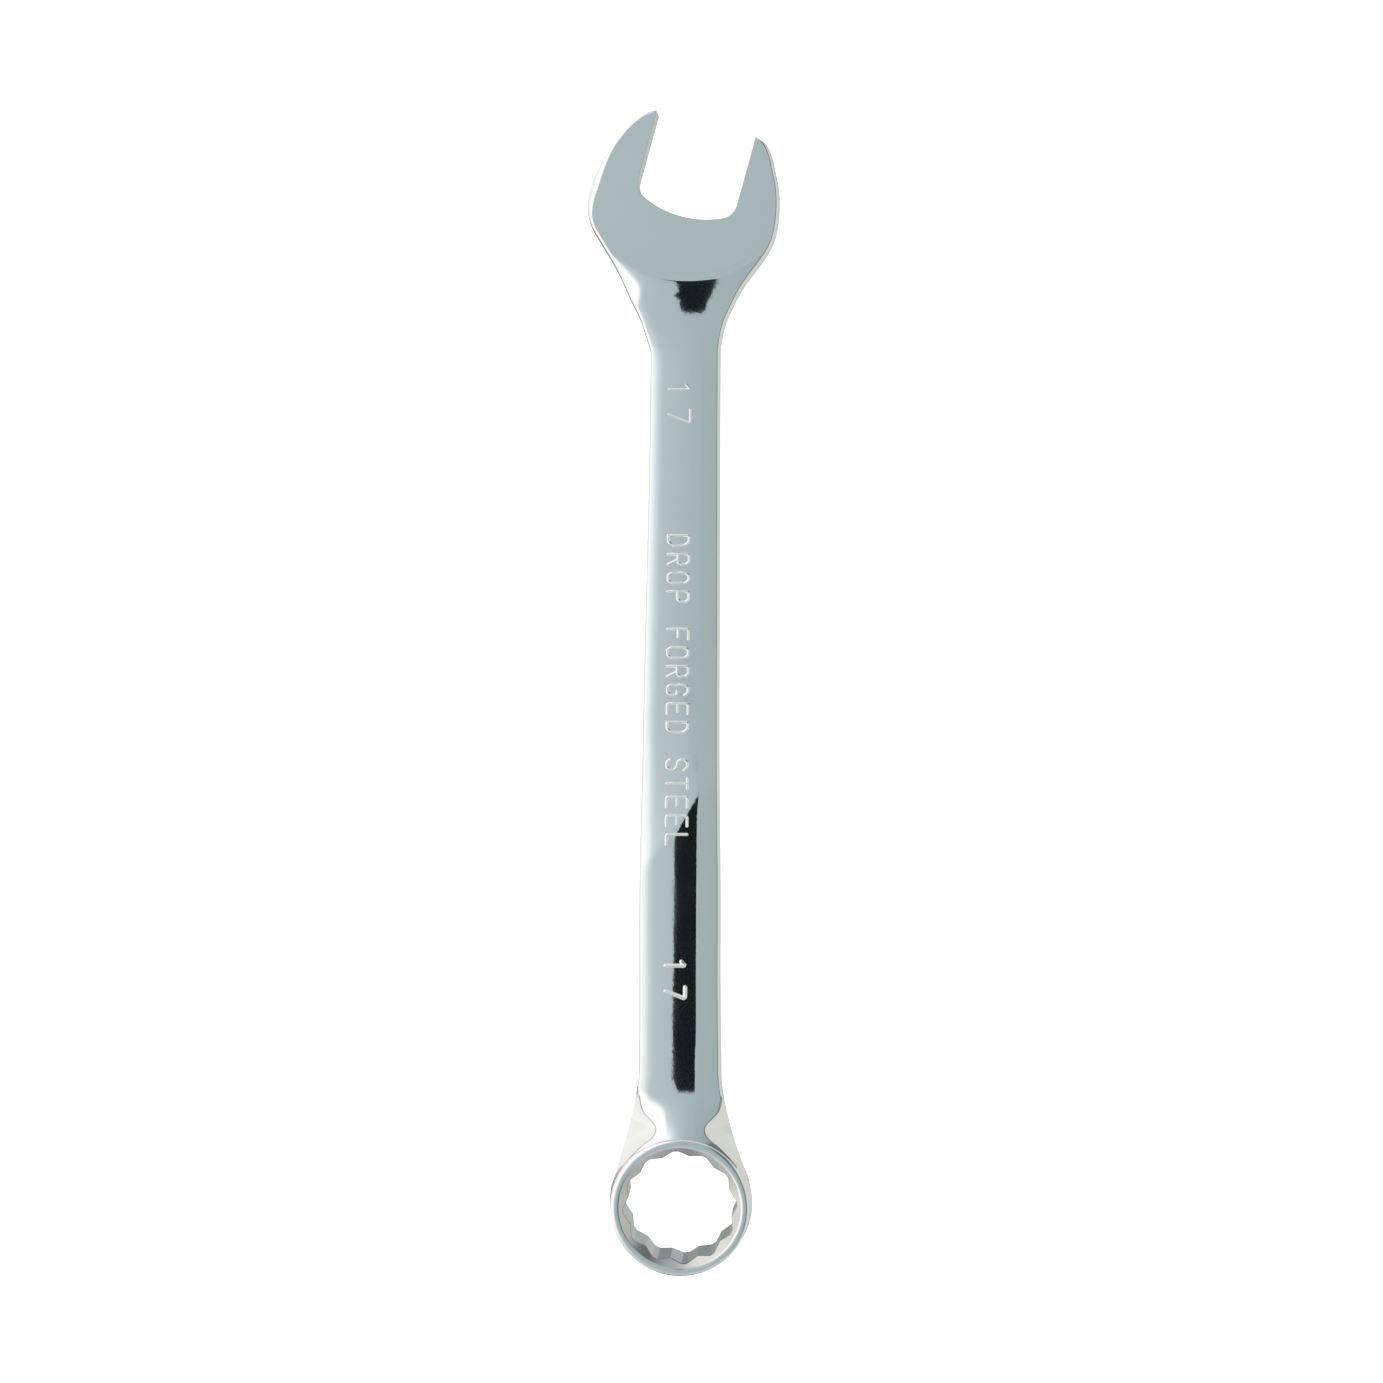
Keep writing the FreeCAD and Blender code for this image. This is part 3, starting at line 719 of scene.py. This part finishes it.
def neck_surface(a, y, side):
    """A point of the ring neck. a runs 0 to 6: left wall, left edge, face, and back down."""
    b = np.where(a < 3, a, 6 - a)
    hand = np.where(a < 3, -1.0, 1.0)
    outer = np.where(a < 3, -edge_line(FLANKS[0], y), edge_line(FLANKS[1], y))
    edge_x = outer - EDGE_INSET
    if side > 0:
        waist = np.where(y > WAIST_CURVE[-1, 1], edge_x, edge_line(WAIST_CURVE, y))
        edge_x = np.minimum(edge_x, waist)
    top = face_height(hand * edge_x, y, side) * side
    other = face_height(hand * edge_x, y, -side) * -side
    mid = (top - other) / 2
    tall = top - mid
    inset = outer - edge_x
    lean = np.arctan2(inset - EDGE_RADIUS * LEAN_INSET, tall - EDGE_RADIUS * LEAN_DROP)
    angle = lean + (math.pi / 2 - lean) * np.clip(b - 1, 0, 1)
    arc_x = edge_x + EDGE_RADIUS * np.cos(angle)
    arc_z = top - EDGE_RADIUS * (1 - np.sin(angle))
    start_x = edge_x + EDGE_RADIUS * np.cos(lean)
    start_z = top - EDGE_RADIUS * (1 - np.sin(lean))
    share = np.clip(b, 0, 1)
    hollow = WAIST_HOLLOW * np.clip((inset - HOLLOW_START) / HOLLOW_EASE, 0, 1)
    sag = hollow * 4 * share * (1 - share)
    wall_x = outer + (start_x - outer) * share - sag * np.cos(lean)
    wall_z = mid + (start_z - mid) * share - sag * np.sin(lean)
    face_x = np.where(b > 2, edge_x * (3 - b), edge_x)
    face_z = face_height(hand * face_x, y, side) * side
    x = np.select([b <= 1, b <= 2], [wall_x, arc_x], face_x)
    z = np.select([b <= 1, b <= 2], [wall_z, arc_z], face_z)
    return np.stack((hand * x, y, side * z), axis=-1)


FLANKS = [flank(LEFT_FLANK), flank(RIGHT_FLANK)]
WAIST_CURVE = smooth_curve(WAIST, WAIST_START_WAY, (0, 1), WAIST_SPACING)


def tilted(p, angle):
    """Points turned about the X axis."""
    c, s = math.cos(angle), math.sin(angle)
    x, y, z = p[..., 0], p[..., 1], p[..., 2]
    return np.stack((x, y * c - z * s, y * s + z * c), axis=-1)


def in_ring_frame(p):
    return tilted(p, -RING_TILT)


def from_ring_frame(p):
    return tilted(p, RING_TILT)


def surface(shape, s, t, side):
    """Points of a surface and its outward normals, by small steps along each way."""
    h = SLOPE_STEP
    ds = shape(s + h, t, side) - shape(s - h, t, side)
    dt = shape(s, t + h, side) - shape(s, t - h, side)
    return shape(s, t, side), unit(np.cross(ds, dt)) * side


def neck_ends(a, side):
    """Where each lengthwise line of the ring neck runs into the ring."""
    lowest = RING_RADIUS * math.sin(FLARE_ANGLE)
    y_line = np.linspace(SHANK_LOW_Y, lowest, RING_NECK_SEARCH)
    grid_a, grid_y = np.meshgrid(a, y_line, indexing="ij")
    p = in_ring_frame(neck_surface(grid_a, grid_y, side))
    inside = np.hypot(p[..., 0], p[..., 1]) < NECK_END_RADIUS
    last = np.where(inside.any(axis=1), inside.argmax(axis=1), len(y_line) - 1)
    return y_line[last]


def ring_neck(materials):
    """The waisted neck, its scoops' edges marked by strips of a dark material of their own, painted
    shade lines.
    """
    wall = np.linspace(0, 1, RING_NECK_WALL)
    edge = np.linspace(1, 2, RING_NECK_EDGE)[1:]
    face = np.linspace(2, 3, RING_NECK_FACE)[1:]
    a_half = np.concatenate((wall, edge, face))
    a = np.concatenate((a_half, 6 - a_half[-2::-1]))
    rows = np.linspace(0, 1, RING_NECK_ROWS)
    first, last = EDGE_ROWS
    end = len(a) - 1
    cuts = [0, first, last, end - last, end - first, end]
    skin = Skin()
    ends = {}
    for side in (1, -1):
        y_end = neck_ends(a, side)
        grid_a = np.repeat(a[:, None], len(rows), axis=1)
        grid_y = SHANK_LOW_Y + (y_end[:, None] - SHANK_LOW_Y) * rows[None, :]
        p, n = surface(neck_surface, grid_a, grid_y, side)
        waist_row = int(np.argmax(grid_y[first] < WAIST_LINE_END))
        for number, (low, high) in enumerate(zip(cuts, cuts[1:])):
            strip_p, strip_n = p[low:high + 1], n[low:high + 1]
            # on the marked face the strips along the scoops' edges get dark chrome, a painted shade
            # line
            slot = SCOOP_EDGE_PAINTED_SHADE if side > 0 and number % 2 else PLAIN
            skin.add_grid(strip_p[:, :waist_row + 1], strip_n[:, :waist_row + 1])
            skin.add_grid(strip_p[:, waist_row:], strip_n[:, waist_row:], slot)
        ends[side] = p
    skin.add_cap(ends[1][:, 0], ends[-1][:, 0], (0, 1, 0))
    skin.add_cap(ends[1][:, -1], ends[-1][:, -1], (0, -1, 0))
    return skin.make("polished_ring_neck", materials)


# ---- the ring

def star_radius(angle):
    """The twelve-point socket's wall at an angle: two hexagons, their corners cut by the bore."""
    sixth = math.pi / 3
    first, second = [SOCKET_HALF_FLATS / np.cos((angle - SOCKET_TURN - turn) % sixth - sixth / 2)
                     for turn in (0.0, sixth / 2)]
    return np.minimum(np.maximum(first, second), SOCKET_CORNER_RADIUS)


def star_angles():
    """Angles round the socket, with one at each peak and each end of each corner."""
    ease = math.pi / 6 - math.acos(SOCKET_HALF_FLATS / SOCKET_CORNER_RADIUS)
    stops = []
    for k in range(12):
        corner = SOCKET_TURN + k * math.pi / 6
        peak = corner + math.pi / 12
        stops += list(np.linspace(corner - ease, corner + ease, SOCKET_CORNER_STEPS)[:-1])
        stops += list(np.linspace(corner + ease, peak, SOCKET_WALL_STEPS)[:-1])
        stops += list(np.linspace(peak, corner + math.pi / 6 - ease, SOCKET_WALL_STEPS)[:-1])
    return np.array(stops + [stops[0] + 2 * math.pi])


def rim_profile():
    """Radius, height and lean of the ring's wall and crowned rim, from the parting line."""
    radii = np.linspace(RIM_INNER_RADIUS, RIM_TURNS[-1][0], RIM_STEPS)
    lean = np.radians(np.interp(radii, *zip(*RIM_TURNS)))
    drop = np.cumsum(np.diff(radii) * np.tan((lean[1:] + lean[:-1]) / 2))
    heights = RIM_INNER_Z - np.append(0.0, drop)
    last = lean[-1]
    turn = np.linspace(last, math.pi / 2 - WALL_DRAFT, RIM_ROUND_STEPS)[1:]
    round_r = radii[-1] + RIM_ROUND * (np.sin(turn) - math.sin(last))
    round_z = heights[-1] + RIM_ROUND * (np.cos(turn) - math.cos(last))
    r = np.concatenate(([RING_RADIUS], round_r[::-1], radii[::-1]))
    z = np.concatenate(([0.0], round_z[::-1], heights[::-1]))
    return r, z, np.concatenate(([turn[-1]], turn[::-1], lean[::-1]))


def ring_head(materials):
    """The ring: wall and rim, then the lead-ins, the broken edges and the socket's walls, the last
    three in darker chrome that paints the shade inside the socket.
    """
    angle = star_angles()
    flats = star_radius(angle)
    lead_z = RIM_INNER_Z - (RIM_INNER_RADIUS - flats) * LEAD_IN_SLOPE
    skin = Skin()

    def circle(radius, z):
        """Points, or directions, all round the ring."""
        return np.column_stack((np.cos(angle) * radius, np.sin(angle) * radius,
                                np.broadcast_to(z, len(angle))))

    def add(p, n, slot):
        n = np.broadcast_to(n, p.shape)
        skin.add_grid(from_ring_frame(p), from_ring_frame(n), slot)

    r, z, lean = rim_profile()
    for side in (1, -1):
        wall = [circle(radius, side * height) for radius, height in zip(r, z)]
        facing = [circle(math.sin(t), side * math.cos(t)) for t in lean]
        add(np.stack(wall, axis=1), np.stack(facing, axis=1), PLAIN)
        top = circle(RIM_INNER_RADIUS, side * RIM_INNER_Z)
        low = circle(flats + EDGE_BREAK, side * (lead_z + EDGE_BREAK * LEAD_IN_SLOPE))
        foot = circle(flats, side * (lead_z - EDGE_BREAK))
        inward = circle(-LEAD_IN_SLOPE, side)[:, None]
        # the lead-ins get darker beige chrome: turned tool lines, with painted shade and reflection
        add(between(top, low, SOCKET_DEPTH_STEPS), inward, TURNED_PAINTED_SHADE)
        # the broken edge strip gets dark chrome, a painted shade line
        inward = circle(-1.0, side * EDGE_BREAK_LEAN)[:, None]
        add(np.stack((low, foot), axis=1), inward, RING_EDGE_PAINTED_SHADE)
    tops = circle(flats, lead_z - EDGE_BREAK)
    walls = between(tops, circle(flats, EDGE_BREAK - lead_z), SOCKET_DEPTH_STEPS)
    # the socket's walls get darker grey-blue chrome: broached tool lines, with painted shade and
    # reflection
    for i in range(len(angle) - 1):
        edge = tops[i + 1] - tops[i]
        add(walls[i:i + 2], np.array((-edge[1], edge[0], 0.0)), BROACHED_PAINTED_SHADE)
    return skin.make("polished_ring", materials)


# ---- raised marks

def rounded(points):
    """A stroke's line with its inner corners rounded."""
    p = np.array(points, float)
    line = [p[:1]]
    for before, corner, after in zip(p, p[1:], p[2:]):
        back, ahead = before - corner, after - corner
        reach = min(MARK_CORNER, CORNER_SHARE * min(np.linalg.norm(back), np.linalg.norm(ahead)))
        line.append(bend(corner + unit(back) * reach, corner, corner + unit(ahead) * reach,
                         STROKE_CORNER_STEPS))
    line.append(p[-1:])
    return np.vstack(line)


def powered(value, power):
    """A power that keeps its number's sign."""
    return np.sign(value) * np.abs(value)**power


def add_stroke(skin, line, half_width, height):
    """A roof-shaped stroke along a line on the marked face, with round ends."""
    along = unit(np.gradient(line, axis=0))
    side = np.stack((-along[:, 1], along[:, 0]), axis=1)
    turns = np.linspace(0, 2 * math.pi, STROKE_TURNS)[:, None]
    c, d = np.cos(turns), np.sin(turns)
    end_turns = np.linspace(STROKE_END_START, math.pi / 2, STROKE_END_STEPS)
    stations = [(0, -math.sin(t), math.cos(t)) for t in end_turns[::-1]]
    stations += [(i, 0.0, 1.0) for i in range(len(line))]
    stations += [(len(line) - 1, math.sin(t), math.cos(t)) for t in end_turns]
    rings, normals = [], []
    for i, forward, size in stations:
        x, y = line[i] + along[i] * half_width * forward
        centre = np.array((x, y, face_height(x, y, 1) - MARK_SINK))
        up = face_normal(x, y, 1)
        spread = np.append(side[i], 0.0)
        ahead = np.append(along[i], 0.0)
        size = max(size, 1e-3)
        rings.append(centre + spread * half_width * size * powered(c, STROKE_POWER)
                     + up * height * size * powered(d, STROKE_POWER))
        normals.append(unit(spread * height * size * powered(c, 2 - STROKE_POWER)
                            + up * half_width * size * powered(d, 2 - STROKE_POWER)
                            + ahead * height * forward))
    skin.add_grid(np.array(rings), np.array(normals))


def raised_marks(name, materials, text, y_start, width, pitch, stroke, height):
    """Raised strokes that read from the open end to the ring, their tops towards +X."""
    skin = Skin()
    for place, letter in enumerate(text):
        for polyline in GLYPHS.get(letter, []):
            grid = np.array(polyline, float)
            x = MARK_BASE_X + stroke / 2 + (MARK_HEIGHT - stroke) * grid[:, 1] / 3
            y = y_start - place * pitch - stroke / 2 - (width - stroke) * grid[:, 0] / 2
            add_stroke(skin, rounded(np.column_stack((x, y))), stroke / 2, height)
    return skin.make(name, materials)


# ---- materials

class Metal:
    """A metal's material, with its colour, roughness and relief from noise."""

    def __init__(self, name):
        self.material = bpy.data.materials.new(name)
        self.material.use_nodes = True
        self.nodes, self.links = self.material.node_tree.nodes, self.material.node_tree.links
        self.shader = self.nodes["Principled BSDF"]
        self.shader.inputs["Metallic"].default_value = 1.0
        self.place = self.nodes.new("ShaderNodeTexCoord").outputs["Object"]

    def noise(self, scale, detail):
        node = self.nodes.new("ShaderNodeTexNoise")
        node.inputs["Scale"].default_value = scale
        node.inputs["Detail"].default_value = detail
        self.links.new(self.place, node.inputs["Vector"])
        return node.outputs["Fac"]

    def stretch(self, scale):
        """Stretches the noise made from now on."""
        node = self.nodes.new("ShaderNodeMapping")
        node.inputs["Scale"].default_value = scale
        self.links.new(self.place, node.inputs["Vector"])
        self.place = node.outputs["Vector"]

    def vary_roughness(self, source, low, high):
        node = self.nodes.new("ShaderNodeMapRange")
        node.inputs["To Min"].default_value = low
        node.inputs["To Max"].default_value = high
        self.links.new(source, node.inputs["Value"])
        self.links.new(node.outputs["Result"], self.shader.inputs["Roughness"])

    def vary_colour(self, source, dark, light):
        node = self.nodes.new("ShaderNodeMix")
        node.data_type = "RGBA"
        node.inputs["A"].default_value = (*dark, 1)
        node.inputs["B"].default_value = (*light, 1)
        self.links.new(source, node.inputs["Factor"])
        self.links.new(node.outputs["Result"], self.shader.inputs["Base Color"])

    def add_relief(self, source, distance, strength=1.0):
        """Fine relief, over any that is there already."""
        node = self.nodes.new("ShaderNodeBump")
        node.inputs["Strength"].default_value = strength
        node.inputs["Distance"].default_value = distance
        self.links.new(source, node.inputs["Height"])
        normal = self.shader.inputs["Normal"]
        if normal.is_linked:
            self.links.new(normal.links[0].from_socket, node.inputs["Normal"])
        self.links.new(node.outputs["Normal"], normal)


def polished_chrome():
    """Bright chrome plate over a hand-polished forging, with a ripple and orange peel."""
    metal = Metal("polished_chrome")
    soft = metal.noise(180.0, 2.0)
    metal.vary_roughness(soft, 0.02, 0.05)
    metal.vary_colour(soft, (0.885, 0.89, 0.885), (0.915, 0.915, 0.91))
    metal.add_relief(metal.noise(130.0, 1.0), 0.00001)
    metal.add_relief(metal.noise(1900.0, 1.0), 0.0000009)
    return metal.material


def cut_chrome(name, dark, light):
    """Chrome over a cut surface, with fine tool lines through the wrench's thickness, in the colours
    given; the darker copies carry painted shade.
    """
    metal = Metal(name)
    metal.stretch((1.0, 1.0, 0.06))
    lines = metal.noise(2600.0, 3.0)
    metal.vary_roughness(lines, 0.16, 0.30)
    metal.vary_colour(lines, dark, light)
    metal.add_relief(lines, 0.00003, 0.35)
    return metal.material


def satin_chrome():
    """Chrome over the raised marks, which keep the grain of the die."""
    metal = Metal("satin_chrome")
    grain = metal.noise(2400.0, 2.0)
    metal.vary_roughness(grain, 0.12, 0.20)
    metal.vary_colour(grain, (0.97, 0.975, 0.97), (1.0, 1.0, 1.0))
    metal.add_relief(grain, 0.00001)
    return metal.material


def studio_surface(name, base, glow, specular):
    """A dull surface that gives off some light of its own."""
    material = bpy.data.materials.new(name)
    material.use_nodes = True
    inputs = material.node_tree.nodes["Principled BSDF"].inputs
    inputs["Base Color"].default_value = (*base, 1)
    inputs["Roughness"].default_value = 0.9
    inputs["Specular IOR Level"].default_value = specular
    inputs["Emission Color"].default_value = (*glow, 1)
    inputs["Emission Strength"].default_value = 1.0
    return material


# ---- assembly

chrome = polished_chrome()
satin = satin_chrome()
cut = cut_chrome("cut_chrome", (0.80, 0.79, 0.765), (0.86, 0.855, 0.83))
# the lead-ins' darker beige tone is painted shade and reflection inside the socket; the tool lines
# are real
turned = cut_chrome("turned_chrome_painted_shade", (0.66, 0.65, 0.625), (0.73, 0.72, 0.69))
# dark chrome for the edge strips: painted shade lines along the ring's broken edges and the scoops'
# edges
edge = cut_chrome("edge_painted_shade", (0.30, 0.31, 0.30), (0.40, 0.41, 0.40))
# the socket walls' darker grey-blue tone is painted shade and reflection; the tool lines are real
broached = cut_chrome("broached_chrome_painted_shade", (0.53, 0.575, 0.585), (0.63, 0.67, 0.68))

pieces = {
    "open_end_head": open_end_head([chrome, cut]),
    "open_end_neck": open_end_neck([chrome]),
    "shank": bar_piece("polished_shank", *SHANK_EDGES, [chrome]),
    "ring_neck": ring_neck([chrome, edge]),
    "ring_head": ring_head([chrome, turned, broached, edge]),
    "size_mark_open_end": raised_marks("raised_number_open", [satin], **OPEN_NUMBER),
    "raised_legend": raised_marks("raised_words", [satin], **LEGEND),
    "size_mark_ring_end": raised_marks("raised_number_ring", [satin], **RING_NUMBER),
}
for node, piece in pieces.items():
    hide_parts(node)


# ---- camera and studio

FRAME_WIDTH = 0.2344        # what the view covers at the wrench
LENS = 150.0
SENSOR = 36.0
DISTANCE = FRAME_WIDTH * LENS / SENSOR
AIM = (1.356, 86.735, 3.779)            # the middle of the view, in the forging's frame
VIEW_TURN = math.radians(2.5)           # the camera looks from this far on the right
VIEW_ROLL = math.radians(0.36)
FLOOR_REACH = 3.0
HOOD_OUTLINE = [(-20, -35), (62, -37), (50, -22), (44, -8), (42, 2), (35, 12), (31, 26),
                (22, 33), (-22, 32), (-30, 24), (-34, 12), (-42, 2), (-42, -8), (-30, -20)]
HOOD_X = -41.96             # the hood's middle, from the middle of the view
HOOD_LIFT = 21.0            # the hood is this far behind the camera's lens

SKY_ACROSS = [(-1.0, (0.86, 0.86, 0.84)), (-0.85, (1.0, 1.0, 1.0)), (-0.34, (1.0, 1.0, 1.0)),
              (-0.27, (0.80, 0.87, 0.88)), (-0.22, (0.60, 0.68, 0.69)), (-0.15, (0.47, 0.55, 0.57)),
              (-0.05, (0.385, 0.465, 0.48)), (0.16, (0.335, 0.415, 0.425)),
              (0.29, (0.31, 0.385, 0.39)), (0.36, (0.13, 0.17, 0.175)), (0.67, (0.14, 0.18, 0.185)),
              (0.76, (0.50, 0.52, 0.505)), (0.84, (0.60, 0.615, 0.585)), (1.0, (0.62, 0.63, 0.60))]
TABLE_ACROSS = [(-1.0, (0.92, 0.92, 0.91)), (-0.45, (0.80, 0.81, 0.80)), (-0.2, (0.26, 0.27, 0.26)),
                (0.0, (0.34, 0.37, 0.37)), (0.22, (0.56, 0.58, 0.56)), (0.5, (0.63, 0.64, 0.61)),
                (1.0, (0.66, 0.67, 0.63))]
SKY_AHEAD = (0.70, 0.69, 0.66)
SKY_BEHIND = (0.52, 0.55, 0.55)
SLANT = -0.12               # the white screen leans over towards the open end
AHEAD_SPAN = (0.78, 0.94)   # how steeply +Y a direction points, from none of that sky to all
BEHIND_SPAN = (-0.35, -0.8)
HORIZON_SPAN = (0.04, -0.04)
SKY_STRENGTH = 1.1


def add_camera(centre):
    back = Vector((math.sin(VIEW_TURN), 0.0, math.cos(VIEW_TURN)))
    upward = Vector((-math.sin(VIEW_ROLL), math.cos(VIEW_ROLL), 0.0))
    rightward = upward.cross(back).normalized()
    facing = Matrix((rightward, back.cross(rightward), back)).transposed().to_4x4()
    camera_data = bpy.data.cameras.new("studio_camera")
    camera_data.lens = LENS
    camera_data.sensor_width = SENSOR
    camera_data.clip_start = 0.01
    camera = bpy.data.objects.new("studio_camera", camera_data)
    bpy.context.scene.collection.objects.link(camera)
    camera.matrix_world = Matrix.Translation(centre + back * DISTANCE) @ facing
    bpy.context.scene.camera = camera


def flat_sheet(name, outline, material):
    """A flat sheet with this outline, at z = 0."""
    mesh = bpy.data.meshes.new(name)
    mesh.from_pydata([(x, y, 0) for x, y in outline], [], [tuple(range(len(outline)))])
    mesh.materials.append(material)
    sheet = bpy.data.objects.new(name, mesh)
    bpy.context.scene.collection.objects.link(sheet)
    return sheet


def add_floor():
    corners = [(-1, -1), (1, -1), (1, 1), (-1, 1)]
    white = studio_surface("white_sweep", (0.9, 0.9, 0.9), (1, 1, 1), 0.5)
    floor = flat_sheet("floor", [(x * FLOOR_REACH, y * FLOOR_REACH) for x, y in corners], white)
    floor.visible_glossy = False


def add_hood(centre):
    """The dark lens hood that the polished metal mirrors."""
    black = studio_surface("hood_black", (0.0, 0.0, 0.0), (0.008, 0.012, 0.014), 0.0)
    hood = flat_sheet("lens_hood", [(x * MM, y * MM) for x, y in HOOD_OUTLINE], black)
    hood.location = centre + Vector((HOOD_X * MM, 0, DISTANCE + HOOD_LIFT * MM))
    hood.visible_camera = False
    hood.visible_diffuse = False
    hood.visible_shadow = False


def across_ramp(nodes, links, source, stops):
    """Colours from stops at -1 to 1 of a direction's part."""
    half = nodes.new("ShaderNodeMath")
    half.operation = "MULTIPLY_ADD"
    half.inputs[1].default_value = 0.5
    half.inputs[2].default_value = 0.5
    links.new(source, half.inputs[0])
    ramp = nodes.new("ShaderNodeValToRGB")
    links.new(half.outputs["Value"], ramp.inputs["Fac"])
    stops = [((x + 1) / 2, (*colour, 1)) for x, colour in stops]
    elements = ramp.color_ramp.elements
    elements[0].position, elements[0].color = stops[0]
    elements[1].position, elements[1].color = stops[-1]
    for position, colour in stops[1:-1]:
        elements.new(position).color = colour
    return ramp.outputs["Color"]


def blend(nodes, links, source, span, colour):
    """A mix that goes over from a colour to its second one as source crosses the span."""
    share = nodes.new("ShaderNodeMapRange")
    share.interpolation_type = "SMOOTHSTEP"
    share.inputs["From Min"].default_value, share.inputs["From Max"].default_value = span
    links.new(source, share.inputs["Value"])
    mix = nodes.new("ShaderNodeMix")
    mix.data_type = "RGBA"
    links.new(share.outputs["Result"], mix.inputs["Factor"])
    links.new(colour, mix.inputs["A"])
    return mix


def add_world():
    """A studio: grey-blue overhead, a white screen on the left, a pale table below."""
    world = bpy.data.worlds.new("studio")
    bpy.context.scene.world = world
    world.use_nodes = True
    nodes, links = world.node_tree.nodes, world.node_tree.links
    place = nodes.new("ShaderNodeTexCoord")
    split = nodes.new("ShaderNodeSeparateXYZ")
    links.new(place.outputs["Generated"], split.inputs["Vector"])
    x, y, z = (split.outputs[way] for way in "XYZ")
    slanted = nodes.new("ShaderNodeMath")
    slanted.operation = "MULTIPLY_ADD"
    slanted.inputs[1].default_value = SLANT
    links.new(y, slanted.inputs[0])
    links.new(x, slanted.inputs[2])
    colour = across_ramp(nodes, links, slanted.outputs["Value"], SKY_ACROSS)
    for span, other in ((AHEAD_SPAN, SKY_AHEAD), (BEHIND_SPAN, SKY_BEHIND)):
        mix = blend(nodes, links, y, span, colour)
        mix.inputs["B"].default_value = (*other, 1)
        colour = mix.outputs["Result"]
    whole = blend(nodes, links, z, HORIZON_SPAN, colour)
    links.new(across_ramp(nodes, links, x, TABLE_ACROSS), whole.inputs["B"])
    background = nodes["Background"]
    links.new(whole.outputs["Result"], background.inputs["Color"])
    background.inputs["Strength"].default_value = SKY_STRENGTH


view_centre = RING_CENTRE + LIE @ (Vector(AIM) * MM)
add_camera(view_centre)
add_floor()
add_world()
add_hood(view_centre)

bpy.context.scene.view_settings.view_transform = "Standard"
